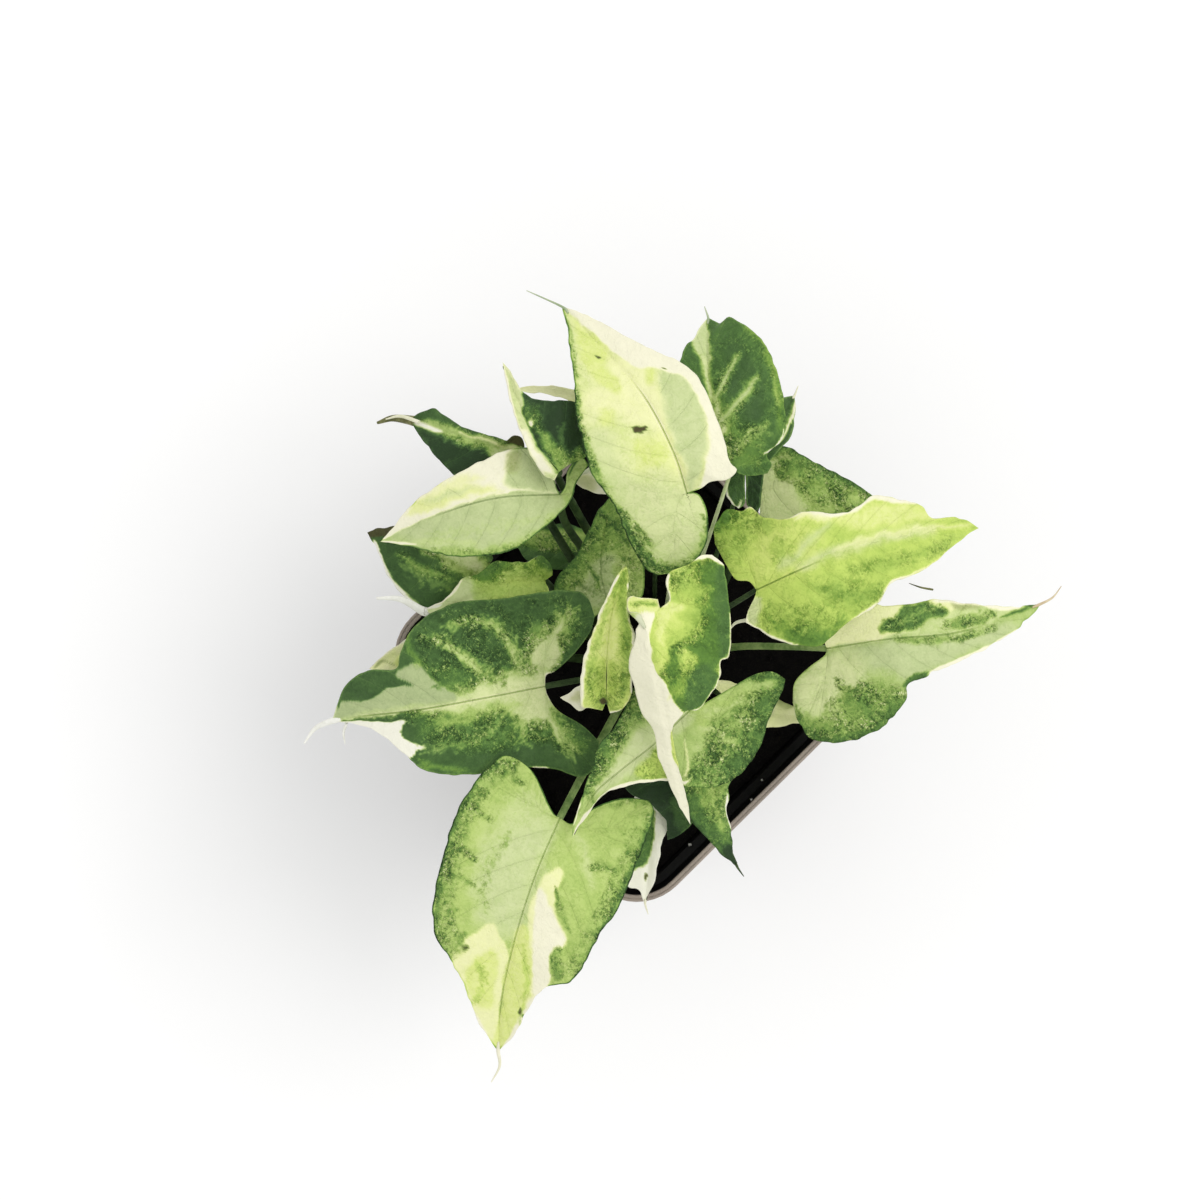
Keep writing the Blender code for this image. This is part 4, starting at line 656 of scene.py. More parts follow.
leaves["leaf_08"] = dict(
    base="fresh", hem=0.9, sheath="moss", tailTone="cream", tailWide=0.6, ribLine=(0.6, 0.7, 1), sag=0.006,
    wave=0.6,
    stalk=[(-2.5, -8.5), (-8, -18.5, 26), (-15.5, -32.5, 41)],
    rib=[(-21, -43, 56), (-27.5, -58, 59), (-33, -75, 54), (-36.8, -92, 44), (-37.7, -106, 34)],
    left=[(-18, -44.5), (-15, -42), (-9, -39), (-3, -37.6), (3, -38.2), (4.3, -41.5), (1.8, -50),
        (-2, -59.5), (-5, -67), (-10.5, -74.8), (-14, -81.5), (-18, -87), (-24, -88.6), (-28.5, -92.5),
        (-33, -101)],
    right=[(-22.5, -42), (-24.2, -39), (-28, -31), (-32.5, -27), (-36.5, -26.3), (-41, -30), (-46.5, -37),
        (-50.2, -45), (-53, -55), (-55.1, -64), (-54.8, -74), (-51, -80.5), (-47, -88), (-43.5, -97),
        (-40, -103)],
    tail=[(-37.3, -110, 31), (-39.5, -114.3, 29)],
    patches=[
        ("palePlain", 9, [(-22, -42), (-32, -36), (-40, -46), (-44, -58), (-44, -70), (-38, -76),
            (-31, -74), (-27, -60)]),
        ("sage", 7, [(-24, -46), (-34, -46), (-42, -56), (-42, -68), (-36, -74), (-31, -72), (-28, -60)]),
        ("moss", 1.6, [(-51, -79.5), (-49, -75.5), (-46, -74), (-47, -77)]),
        ("ivory", 0.9, [(-40, -71.5), (-37.5, -74), (-35.2, -79), (-36.3, -88), (-37.5, -96), (-38.2, -107),
            (-46, -97), (-49, -88), (-52, -80), (-47.5, -77)]),
        ("citron", 1.8, [(-43, -80), (-38.7, -79), (-38.2, -88), (-39, -94), (-43.5, -93), (-46.5, -86)]),
        ("ivory", 0.9, [(-24.2, -57), (-20.3, -57.5), (-21, -62), (-22, -68), (-19.3, -75), (-20.3, -78),
            (-23.3, -80), (-24, -87.3), (-29, -92.5), (-33, -99), (-37.5, -107), (-36.3, -98), (-33, -88),
            (-29.8, -78), (-30, -70), (-27.5, -62)]),
        ("cream", 0.9, [(-27.5, -63), (-25, -64), (-22, -70), (-19.6, -75), (-20.8, -78), (-23.4, -80),
            (-24.3, -88), (-28, -91), (-28.2, -78)]),
        ("citron", 1.2, [(-30.6, -72), (-28.8, -79), (-28.6, -86), (-29.6, -91), (-31.5, -97),
            (-34.4, -105), (-38.8, -107), (-37.2, -96), (-36, -88), (-34.6, -79), (-33, -73)]),
        ("moss", 1.2, [(-23.3, -79), (-21, -79), (-20, -84), (-22, -87), (-23.7, -85)]),
        ("rust", 0.5, [(-31.8, -94.2), (-31.2, -95), (-31.6, -96.2), (-32.2, -95.4)]),
        ("bark", 0.8, [(-47.6, -77.2), (-47.2, -78.8), (-46, -78)])],
    streaks=[
        ("freshDust", 5, 1.9, [(-33, -29), (-40, -32), (-46, -41), (-50, -53), (-52, -65), (-51.5, -75),
            (-49, -78)]),
        ("mossDust", 2.6, 0.9, [(-33, -27.6), (-40, -30), (-47, -39), (-52, -52), (-54.3, -65),
            (-53.5, -75), (-50.5, -80)]),
        ("deepDust", 1.2, 0.5, [(-46, -37.5), (-50.6, -47), (-53, -56), (-54.4, -66)]),
        ("mossDust", 1.8, 0.6, [(-49.6, -40), (-44, -41), (-40, -44)]),
        ("mossDust", 1.8, 0.6, [(-52, -50), (-47, -51), (-43, -54)]),
        ("mossDust", 1.8, 0.6, [(-52, -59), (-48, -59), (-44, -61)]),
        ("mossDust", 1.6, 0.5, [(-34, -28), (-33, -32), (-30, -34)]),
        ("freshDust", 4, 1.5, [(2.3, -42), (-1, -50), (-5, -59.5), (-9, -68), (-14, -77), (-19, -84)]),
        ("mossDust", 2, 0.6, [(3.3, -41), (1, -50), (-3, -59.5), (-7, -68), (-12, -77), (-17, -85)]),
        ("deepDust", 1, 0.4, [(3.8, -42), (1.4, -50.5), (-2.4, -59.5), (-6, -67), (-11, -75.6)]),
        ("moss", 2.2, 0.7, [(-8, -39.3), (-2, -38.3), (3.5, -39.5)]),
        ("mossDust", 2, 0.7, [(-6, -58), (-10, -56), (-13, -56)]),
        ("palePlain", 5, 0.9, [(-17, -47), (-14, -54), (-12, -62)]),
        ("moss", 1.4, 0.4, [(-22, -62), (-20.5, -68), (-18.5, -74)]),
        ("cream", 0.9, 1.1, [(-52, -82), (-48, -90), (-44.4, -97), (-40, -104)]),
        ("cream", 0.8, 0.7, [(-24.5, -88.8), (-29, -93), (-33, -100), (-36.6, -106)])],
    feathers=[
        ("mossDust", 0.6, 0.25, [(-34, -30), (-40, -33), (-45, -41), (-49, -52), (-51, -65), (-50, -74)],
            160, 4),
        ("deepDust", 0.75, 0.25, [(-33, -27.6), (-40, -30), (-47, -39), (-52, -52), (-54.4, -65),
            (-53.6, -75)], 170, 2.2),
        ("deepDust", 0.6, 0.2, [(3.6, -41), (1.4, -50), (-2.6, -59.5), (-6.6, -68), (-12, -77)], 120, 2),
        ("moss", 0.5, 0.2, [(0, -44), (-4, -56), (-10, -68), (-17, -82)], 90, 4),
        ("moss", 0.4, 0.15, [(-34, -46), (-40, -56), (-42, -66)], 50, 4),
        ("limeShade", 0.6, 0.15, [(-44, -81), (-42, -86), (-43, -92)], 44, 2.4),
        ("limeShade", 0.6, 0.15, [(-31, -77), (-30, -88), (-32, -99)], 54, 1.8)])
leaves["leaf_09"] = dict(
    base="freshGrey", hem=0.3, slim=0.7, ribLine=(0.6, 0.7, 0.9), fold=0.12, sag=0.008, drop=0.15, wave=0.5,
    stalk=[(8, -5), (11, -9, 38)],
    rib=[(14, -14, 66), (4.5, -23, 68), (-5, -30.5, 66), (-12.3, -37.3, 64), (-17.8, -48.5, 61)],
    left=[(18, -12), (25, -8), (31, -4.5), (36, -3.5), (39.8, -5.5), (39, -9), (36, -15), (34, -21),
        (32, -26), (28, -31), (23, -34), (17, -35), (12.5, -34.2), (8, -33), (0, -33.8), (-6, -35.2),
        (-9.7, -37.2), (-13, -41.3), (-16, -45.5)],
    right=[(11, -11), (5, -8), (0, -7), (-2.6, -11), (-5.5, -17.5), (-10, -22.5), (-12.3, -29.5),
        (-14.7, -36), (-17, -43.5)],
    patches=[
        ("fresh", 4, [(14, -15), (22, -10), (32, -8), (33, -16), (27, -24), (18, -20)]),
        ("sage", 3, [(14, -15), (6, -16), (0, -20), (-7, -29), (-13, -37), (-5, -33.4), (4, -27),
            (11, -20)]),
        ("mossDust", 3, [(0, -6), (-4, -10), (-7, -18), (-12, -24), (-16, -34), (-10, -33), (-6, -26),
            (-1, -18), (3, -12)]),
        ("limeDust", 2, [(5, -24.5), (8, -27), (9.5, -34), (3, -34), (-1, -32), (1, -28)]),
        ("mossDust", 4, [(21, -15), (27, -11), (36, -9), (34, -20), (28, -28), (20, -35), (15, -36),
            (14, -30), (19, -24)]),
        ("deepDust", 3, [(32, -12), (36.6, -9), (35.6, -20), (28, -31), (20, -36), (19, -33), (25, -28),
            (30, -20)]),
        ("mossDust", 1.6, [(15, -31), (18, -29), (23, -31), (20, -35), (14, -35.5)])],
    streaks=[
        ("deepDust", 1.6, 0.8, [(-2.4, -9.5), (-5, -16.5), (-9.4, -22), (-11.8, -29), (-14, -35)]),
        ("deepDust", 2.2, 1, [(26, -6), (33, -4.5), (39, -6), (37, -13), (34.5, -20), (30, -27),
            (25, -32)]),
        ("deepDust", 1.6, 0.6, [(33, -4.8), (38.6, -5.4), (38, -9), (36.6, -12)]),
        ("palePlain", 2.2, 0.5, [(17, -15), (24, -13), (31, -11)]),
        ("palePlain", 2.2, 0.5, [(16.6, -18), (22, -20), (27, -24)]),
        ("cream", 0.35, 0.5, [(15, -31.5), (12.5, -33.7), (8, -32.7), (0, -33.5), (-6, -35), (-9.5, -37),
            (-12.8, -41), (-16, -45.3), (-18, -49)]),
        ("ivory", 0.6, 0.3, [(12.6, -22), (13.4, -27), (13.4, -30), (12.3, -32.8)]),
        ("cream", 0.3, 0.2, [(-12.3, -30), (-14.8, -37), (-17.3, -45)])],
    feathers=[
        ("deepDust", 0.75, 0.3, [(-2, -9), (-6, -19), (-11, -27), (-14, -37)], 130, 3.6),
        ("dark", 0.6, 0.2, [(-4.6, -15), (-9, -22), (-12.6, -30), (-15.4, -39)], 60, 1.8),
        ("deepDust", 0.65, 0.3, [(34, -7), (33, -16), (28, -25), (22, -32)], 160, 5),
        ("deep", 0.5, 0.25, [(37, -6), (36, -15), (32, -24), (27, -30)], 40, 2.6),
        ("deepDust", 0.6, 0.3, [(22, -30), (18, -29), (15, -32)], 40, 3),
        ("palePlain", 0.5, 0.2, [(18, -16), (24, -16), (29, -18)], 40, 5)])
leaves["leaf_10"] = dict(
    base="lime", hem=-0.3, slim=0.8, fold=-0.1, sag=0.012, drop=0.15, wave=0.3,
    stalk=[(4.5, 5.5), (5.5, 8, 45)],
    rib=[(6, 13.5, 90), (3.7, 4, 93), (5.5, -6, 90), (8, -18, 82), (11, -32, 72), (14.2, -44.8, 62)],
    left=[(8.6, 16), (7.6, 20.5), (9, 23.5), (14, 25.5), (17, 27.8), (20, 28), (23, 25.3), (24, 20),
        (25, 12), (25.2, 4), (24.5, 0.5), (22.4, -0.5), (22.3, -5), (19.5, -10), (16.5, -13.7), (13, -14.5),
        (9.3, -18.5), (9.5, -24), (11.6, -32), (13.4, -39)],
    right=[(5.4, 16), (2, 16.4), (-2.5, 16.5), (-2.5, 13), (0.2, 12), (-0.5, 7), (-2.6, -2), (-1, -7),
        (0.5, -13.5), (4, -19), (5.5, -26), (8.5, -34), (12, -41)],
    patches=[
        ("mossLime", 3, [(8, 21), (11, 25), (17, 27), (21, 26), (17, 21), (12, 19)]),
        ("limeShade", 4, [(15, 27), (25, 27), (26, 12), (26, 0), (22, -3), (20, -14), (9, -15), (6, -9),
            (7, -2), (11, 4), (14, 10), (15, 17)]),
        ("emerald", 3.2, [(18, 27), (25, 26), (26, 12), (26, 0), (22, -1), (23, -6), (20, -12), (15, -15),
            (10, -14), (8, -9), (7.6, -3), (9, 3), (14, 4), (18, 8), (18.4, 14), (17, 20)]),
        ("deep", 3, [(21, 25), (24.4, 24), (25.8, 12), (25.4, 0), (21.8, -1), (21.8, 10), (21, 16)]),
        ("deep", 3, [(14, -4), (20, -2), (22, -6), (19, -11), (15, -14), (12.6, -12)]),
        ("limeDust", 1.8, [(11, 2), (16, 1), (15, -3), (11, -3)]),
        ("limePale", 1.8, [(4.4, 12), (4.4, 4), (6, -3), (8, -1), (8, 6), (12, 9.5), (8, 13)]),
        ("citron", 1.4, [(5.5, 13), (5, 7), (6.5, 3), (7.5, 8), (10, 12), (13, 13.5), (9, 15.5)]),
        ("cream", 0.35, [(4.4, 13), (3.4, 8), (3.7, 2), (5, -3), (8, -8), (10.3, -12), (12, -15),
            (9.3, -19), (9.3, -24), (11.6, -32), (15.5, -46), (11, -41), (7, -34), (3, -26), (0, -19),
            (-2.5, -13), (-3, -7), (-4, -2), (-2, 5), (-1, 11), (0.6, 12.6)]),
        ("citron", 0.8, [(-3, 17), (2, 17), (6.5, 16.6), (6.5, 13.3), (2, 12.8), (-3, 12.6)])],
    streaks=[
        ("mossLime", 1, 0.5, [(-2.2, 14.4), (1.5, 15), (5, 14.8)]),
        ("cream", 0.5, 0.7, [(12.5, 25.8), (17, 27.6), (20, 27.7), (23, 25.3)]),
        ("cream", 0.35, 0.35, [(25, 12), (25.1, 4), (24.3, 0.4), (22.5, -0.6), (22.3, -5), (19.5, -10),
            (16.5, -13.6), (13, -14.2)]),
        ("cream", 0.4, 0.5, [(8.7, 16), (7.7, 20), (8.5, 23)])],
    feathers=[
        ("limeDust", 0.8, 0.1, [(11, 24), (18, 19), (17, 10), (14, 4)], 90, 3),
        ("limePale", 0.8, 0.1, [(10, 3), (13, -4), (10, -10)], 80, 3.6),
        ("emeraldDust", 0.8, 0.15, [(17, 20), (18, 8), (12, 3), (10, -6)], 80, 3)])
leaves["leaf_11"] = dict(
    base="citron", hem=-0.2, ribLine=(0.3, 0.7, 0.9), fold=0.5, drop=0.5, wave=0.1,
    stalk=[(-4, -2), (-6.5, -7, 40)],
    rib=[(-8.5, -11.5, 68), (-8.3, 0, 77), (-7, 12, 84), (-3.2, 24.8, 89)],
    left=[(-9.5, -14), (-13, -13.4), (-15.3, -12.5), (-15.2, -7), (-14.3, 0), (-12.5, 5.5), (-10.8, 10),
        (-8.5, 16), (-5.8, 21.5)],
    right=[(-7.5, -14.8), (-4, -13.5), (-2, -10), (-1.6, -5), (-1.8, 0), (-1, 6), (-2.5, 11), (-3, 17),
        (-2.6, 21)],
    patches=[
        ("limeDust", 4, [(-13.5, -2), (-2, -2), (-1.5, -10), (-5, -14), (-13, -13)]),
        ("rust", 0.4, [(-10.3, -11.2), (-8.8, -11), (-8.6, -12.4), (-10, -12.6)]),
        ("limeShade", 3, [(-7, 18), (-3, 25), (-2, 10), (-1.6, 0), (-5, 2), (-5, 13)])],
    streaks=[
        ("cream", 0.6, 1, [(-15.6, -13), (-15.4, -6), (-14.3, 1), (-12.8, 6)]),
        ("cream", 0.4, 0.45, [(-12.8, 6), (-11, 10.5), (-8.5, 16.5), (-5, 22.5)]),
        ("cream", 0.4, 0.45, [(-1.7, -9), (-1.6, 0), (-1.1, 6), (-2.4, 12), (-2.8, 20)]),
        ("citron", 1.2, 0.4, [(-8.3, -10), (-8.3, 0), (-7.2, 10), (-5, 19)]),
        ("cream", 0.6, 0.5, [(-14, -13.6), (-9, -14.6), (-4, -14)])],
    feathers=[
        ("leafGreen", 0.55, 0.2, [(-13, -9), (-11.6, 2), (-8, 14)], 60, 3),
        ("leafGreen", 0.7, 0.25, [(-4, -11), (-2.6, 0), (-3, 12)], 60, 2.4)])
leaves["leaf_12"] = dict(
    base="freshGrey", hem=0.7, ribLine=(0.6, 0.5, 0.8), fold=0.08, sag=0.006, drop=-0.3,
    stalk=[(-3, 9.5), (-11, 24, 18), (-19.5, 36.5, 42)],
    rib=[(-21, 44.3, 66), (-38, 43.3, 69), (-54, 38.7, 64), (-69.5, 31.5, 54)],
    left=[(-19.5, 46.8), (-18.9, 51), (-15.5, 54.6), (-13.2, 52.3), (-16.5, 47.5), (-18.5, 42), (-23, 37.5),
        (-29, 32.3), (-35, 29), (-43, 27.6), (-52, 27.9), (-60, 29.8), (-66, 31.2)],
    right=[(-22, 46.3), (-23.6, 50), (-26.5, 55.5), (-32, 56.8), (-40, 54.5), (-48, 50.3), (-55, 46),
        (-61, 41.5), (-66, 35.5)],
    patches=[
        ("mist", 7, [(-22, 46), (-40, 45), (-56, 41), (-68, 33), (-56, 29.5), (-44, 28.8), (-32, 32),
            (-22, 38)]),
        ("cream", 0.6, [(-21.5, 45), (-30, 45), (-38, 44.3), (-46, 42.2), (-54, 39.4), (-62, 35.6),
            (-70.5, 31.5), (-61, 42.5), (-55, 47.5), (-48, 52), (-40, 56), (-32, 58.5), (-26, 57),
            (-23, 50)]),
        ("honey", 2.4, [(-37, 45.6), (-44, 47.4), (-51, 47), (-58, 43.6), (-61.5, 39.5), (-55, 40.6),
            (-48, 43), (-41, 44.6)]),
        ("pale", 2.4, [(-43, 46.4), (-51, 46.2), (-57.4, 42.6), (-50, 44)]),
        ("ivory", 2.4, [(-41, 49), (-49, 49.6), (-57, 44.6), (-50, 46.6)]),
        ("mist", 1.8, [(-21.5, 45.2), (-23.5, 50), (-26.5, 56), (-31, 57), (-34.5, 55), (-35.5, 50),
            (-34, 46)]),
        ("tan", 2, [(-36, 55.5), (-32, 55.5), (-32.5, 51), (-35.5, 51)]),
        ("freshGrey", 1.2, [(-20.6, 44), (-20.4, 48), (-19.5, 51.5), (-15.5, 55), (-12.8, 52.5),
            (-16.5, 47.5), (-18.5, 42)])],
    streaks=[
        ("freshDust", 2.4, 0.9, [(-22, 38), (-28, 32.8), (-36, 29.4), (-45, 28), (-55, 28.8)]),
        ("palePlain", 2, 0.6, [(-60, 31.4), (-52, 31), (-44, 30.6)]),
        ("cream", 0.5, 0.3, [(-60, 31), (-70, 31.4)]),
        # the dark streak along the curled lobe's edge is a painted shadow line
        ("dark", 0.6, 0.3, [(-15.4, 54.2), (-17.6, 52), (-18.8, 49.6)]),
        ("deep", 0.5, 0.25, [(-12.8, 51.7), (-14.8, 48), (-16.8, 44.4)])],
    feathers=[
        ("moss", 0.5, 0.15, [(-20, 37), (-30, 31), (-42, 28), (-56, 28.8)], 110, 2),
        ("fresh", 0.4, 0.1, [(-26, 38), (-40, 35), (-56, 33)], 70, 4)])
leaves["leaf_13"] = dict(
    base="dark", hem=0, tailTone="olive", tailWide=1.5, fold=0.2, sag=0.012,
    stalk=[(-7, 12), (-16, 24, 14), (-26, 41, 38)],
    rib=[(-31, 55, 56), (-42, 58, 58), (-53, 61.5, 55), (-61, 64.3, 50)],
    left=[(-31, 51.5), (-37, 50), (-44, 50.5), (-48.8, 49), (-54, 54), (-59.8, 61.3)],
    right=[(-30.6, 57), (-31.4, 59.6), (-33.4, 60.2), (-35, 58.6), (-38, 59.8), (-46, 62), (-51, 64.8),
        (-55, 67.4), (-59.5, 66)],
    tail=[(-66, 64.9, 47), (-70.3, 63.6, 45)],
    patches=[
        ("moss", 2, [(-31, 55), (-36, 58), (-46, 60.4), (-56, 63), (-52, 60), (-44, 57), (-36, 54)]),
        ("night", 2.2, [(-40, 49), (-48.5, 49.5), (-54, 54), (-59, 60.5), (-52, 59), (-45, 57), (-38, 54)]),
        ("freshGrey", 2.4, [(-30.5, 56), (-38, 58.6), (-46, 61.4), (-52, 63.8), (-58, 64), (-55, 60.8),
            (-46, 58.8), (-38, 55.6)]),
        ("pale", 2, [(-31, 56.6), (-37, 57), (-39, 54.6), (-33, 53)]),
        ("dark", 0.8, [(-51.5, 65), (-55, 68.5), (-60, 67), (-58, 64.8), (-54, 64.4)]),
        ("bark", 0.6, [(-30, 57), (-30.6, 60.6), (-34.4, 61), (-35, 58.2)])],
    streaks=[
        # the white streak near the tip is partly the leaf's cream line and partly a painted highlight on
        # the curling tip
        ("white", 0.8, 0.7, [(-60.5, 64.2), (-57.5, 62.6), (-53, 61)]),
        ("ivory", 0.8, 0.3, [(-33, 56.4), (-40, 58.6), (-48, 61)])],
    feathers=[
        ("freshGrey", 0.6, 0.15, [(-33, 55), (-42, 57), (-51, 60)], 50, 2.6)],
    spurs=[
        ("cream", 0.5, [(-59, 63.8, 53), (-64, 65.4, 50), (-68, 64.6, 48)])])
leaves["leaf_14"] = dict(
    base="night", hem=-0.2,
    stalk=[(1, 12), (-5.5, 25, 16), (-12.5, 33, 26), (-18, 42.5, 46), (-21.6, 49, 62)],
    rib=[(-21.3, 50.3, 74), (-26.5, 57, 77), (-31, 66, 74), (-36.5, 80, 64)],
    left=[(-22.5, 48), (-25.5, 49.8), (-28.5, 54), (-31, 59.5), (-33.2, 65.5), (-35, 73)],
    right=[(-18.5, 52.3), (-13.6, 54.6), (-13.2, 57.5), (-14.6, 62), (-15.8, 68.6), (-21.5, 69.6),
        (-26, 69.8), (-29.5, 71), (-32, 73), (-34.3, 77)],
    patches=[
        ("moss", 2.4, [(-21, 50), (-17.6, 51.6), (-15, 54), (-16, 56.4), (-19, 55.5), (-22, 58), (-24, 61),
            (-26, 60), (-24, 55)]),
        ("deepDust", 2, [(-26, 60), (-25.6, 63), (-26.6, 66), (-29, 68), (-30.4, 70), (-30, 64)]),
        ("pale", 0.7, [(-21.6, 50), (-23, 47.5), (-26, 49.5), (-29, 54), (-32, 60), (-34.3, 66),
            (-37.5, 81), (-36, 80.5), (-31.6, 73.6), (-31.2, 70), (-30.3, 64), (-26.3, 56.5)]),
        ("cream", 1.4, [(-23, 50), (-26, 50.5), (-29, 55), (-32, 61), (-30, 61), (-27, 56)]),
        ("cream", 0.4, [(-29.6, 63.6), (-28.4, 64.4), (-27.9, 63), (-29, 62.5)])],
    streaks=[
        ("cream", 0.3, 0.35, [(-31, 59), (-33.2, 65.5), (-35, 73), (-36.6, 80)])],
    feathers=[
        ("freshGrey", 0.45, 0.1, [(-19, 52), (-20.6, 58), (-20.8, 63)], 44, 2.6),
        ("moss", 0.6, 0.1, [(-23, 54), (-26, 60), (-28.6, 66)], 44, 2.4)])
leaves["leaf_15"] = dict(
    base="ivory", hem=0.1, slim=0.5, fold=0.05, sag=0.008, wave=0.3,
    stalk=[(4.5, 14.5), (4.5, 26, 36), (3, 45, 54)],
    rib=[(2, 58, 60), (-9, 65, 63), (-18.5, 70.8, 61), (-26, 72.4, 59), (-33.5, 72.6, 56)],
    left=[(0, 53), (-3, 47), (-8, 44.2), (-14, 45.6), (-16.8, 48.4), (-12.5, 50.5), (-10.5, 54),
        (-14, 62.5), (-18.5, 69.2), (-25, 71.4), (-30, 72)],
    right=[(3, 62), (-3, 68), (-10, 71.5), (-17, 72.6), (-24, 73.7), (-30, 73.4)],
    patches=[
        ("cream", 2, [(-2, 50), (-8, 43), (-18, 47), (-14, 52), (-8, 56)]),
        ("tanPale", 2, [(-11, 48), (-13, 45), (-17, 48), (-14, 50)])])
leaves["leaf_16"] = dict(
    base="dark", hem=0, fold=0.12,
    stalk=[(-11.5, 5), (-25, 12.5, 12)],
    rib=[(-44, 22, 28), (-53, 26.5, 31), (-63, 31, 30), (-73, 34, 27)],
    left=[(-44.5, 19.5), (-48, 15.5), (-55.5, 12), (-62, 15.8), (-67, 21.5), (-70, 28.5)],
    right=[(-41.5, 23), (-39, 27), (-41, 32), (-48, 35.5), (-57, 37), (-65, 36), (-69.5, 35.2)],
    patches=[
        ("freshDust", 3, [(-42, 20), (-40, 26), (-46, 31), (-60, 32), (-54, 26), (-48, 22)]),
        ("pale", 2.4, [(-42, 26), (-46, 30.5), (-56, 31), (-50, 27), (-44, 24)]),
        ("dark", 2.6, [(-46, 17), (-55, 13), (-62, 17), (-67, 24), (-60, 25), (-52, 22)]),
        ("bark", 0.8, [(-65, 33.2), (-74, 33.4), (-72, 37), (-65, 37)])],
    streaks=[
        ("moss", 2.6, 1, [(-64, 28), (-58, 24), (-50, 21)]),
        ("white", 0.4, 1.3, [(-71, 31.5), (-70, 27.5), (-67.3, 21.3), (-62.2, 15.5), (-58, 12.6),
            (-54, 11.6)])],
    feathers=[
        ("freshGrey", 0.6, 0.2, [(-65, 26), (-58, 22), (-50, 19)], 50, 4),
        ("palePlain", 0.6, 0.2, [(-60, 30), (-52, 28), (-44, 24)], 30, 3)])
leaves["leaf_17"] = dict(
    base="fresh", hem=-0.1, tailTone="white", tailWide=1.4, wave=0.6,
    stalk=[(-7.5, 1.5), (-14, 9, 20)],
    rib=[(-25, 21, 37), (-36, 20, 41), (-48, 15, 40), (-58, 12.8, 37)],
    left=[(-24, 17), (-26, 12), (-34, 8), (-44, 8.5), (-52, 11)],
    right=[(-23, 22.5), (-23.3, 25.5), (-26, 27.7), (-30, 26), (-35, 26.2), (-39, 26), (-43, 22.8),
        (-47.5, 21.3), (-51, 16.8), (-55, 14.6)],
    tail=[(-64, 16, 36), (-70.5, 16.3, 35)],
    patches=[
        ("spring", 4, [(-44, 24), (-30, 27), (-23, 27), (-23, 17), (-34, 13), (-42, 17)]),
        ("emerald", 3, [(-46, 24), (-37, 28), (-34, 25), (-38, 21.5), (-43, 21)]),
        ("deepDust", 2.2, [(-44, 25), (-37, 27), (-36, 24.6), (-41, 22.8)]),
        ("limeShade", 3, [(-30, 28), (-22, 28), (-22, 21), (-27, 22)]),
        ("deepDust", 2, [(-28, 28.6), (-22.4, 28.6), (-22.6, 24), (-25, 24.6)]),
        ("sage", 3, [(-58, 12), (-48, 21), (-45, 20), (-45, 13), (-52, 10)])],
    streaks=[
        ("deepDust", 1.2, 0.5, [(-43, 23.6), (-40, 25.8), (-36, 26), (-31, 26)]),
        ("cream", 0.4, 0.4, [(-47.5, 21.3), (-51, 16.8), (-55, 14.6), (-59, 13.3)]),
        ("white", 0.5, 0.5, [(-53, 14.6), (-57, 13.4), (-60, 12.6)])],
    feathers=[
        ("emerald", 0.7, 0.2, [(-44, 23), (-38, 25), (-31, 25), (-24, 26)], 90, 3),
        ("limePale", 0.5, 0.2, [(-36, 21), (-28, 21)], 24, 3)])
leaves["leaf_18"] = dict(
    base="freshDust", hem=0.4, ribLine=(0.5, 0.7, 0.9), fold=0.08,
    stalk=[(-3.5, 4.5), (-6, 9, 22)],
    rib=[(-8, 14, 36), (-10, 24, 39), (-9, 34, 38), (-7, 44, 34)],
    left=[(-12, 11), (-20, 14), (-22.8, 19), (-20, 24), (-16, 28.5), (-13.5, 34), (-10.5, 40)],
    right=[(-5, 12.5), (0.5, 16), (2, 23), (0, 32), (-3, 39)],
    patches=[
        ("moss", 4, [(-22, 12), (-23, 22), (-16, 30), (-11, 44), (-3, 44), (-4, 34), (-10, 24), (-14, 14)]),
        ("mistDust", 3, [(-18, 13), (-16, 20), (-11, 28), (-6, 26), (-8, 14)])],
    streaks=[
        ("deepDust", 2, 0.9, [(-19, 14.4), (-21.6, 19), (-19.4, 24), (-15, 29), (-12.4, 36)]),
        ("deepDust", 2, 0.7, [(-10, 40), (-6, 36), (-3, 30)]),
        ("deepDust", 1.4, 0.4, [(-15, 27), (-12, 23), (-11, 18)])],
    feathers=[
        ("deepDust", 0.6, 0.25, [(-20, 15), (-20, 22), (-14, 30), (-10, 38)], 90, 3.4)])
leaves["leaf_19"] = dict(
    base="dark", hem=0, slim=0.6, wave=0.2,
    stalk=[(-11.5, 9.5), (-12.5, 17, -6)],
    rib=[(-14, 28, 5), (-24, 29, 8), (-33, 31, 6)],
    left=[(-12, 25), (-20, 24), (-29, 26)],
    right=[(-11, 33), (-20, 36.5), (-30, 34.5)],
    streaks=[
        ("moss", 3, 2.2, [(-12, 31), (-22, 31.6), (-32, 31.5)]),
        ("fresh", 2, 0.8, [(-13, 33), (-20, 34), (-28, 33)])])
leaves["leaf_20"] = dict(
    base="ivory", hem=-0.5, wave=0.2,
    stalk=[(-11.5, -0.5), (-26, 1.5, 12)],
    rib=[(-45, 6, 32), (-55, 5, 35), (-64, 1.5, 33), (-72.5, -2.7, 29)],
    left=[(-46, 3), (-54, -2), (-62, -4.5), (-68, -4.5)],
    right=[(-45, 9), (-52, 9.8), (-59, 7.5), (-64.3, 4.2), (-68.5, 1)],
    patches=[
        ("citron", 1.4, [(-63, 1), (-64, -2), (-66, -2), (-65, 1)])],
    streaks=[
        ("tan", 0.6, 0.4, [(-66, -1.6), (-68.6, -0.6), (-71, -2.4)]),
        ("cream", 0.6, 0.7, [(-50, 10), (-58, 8), (-64.5, 4.4), (-69, 1)])])
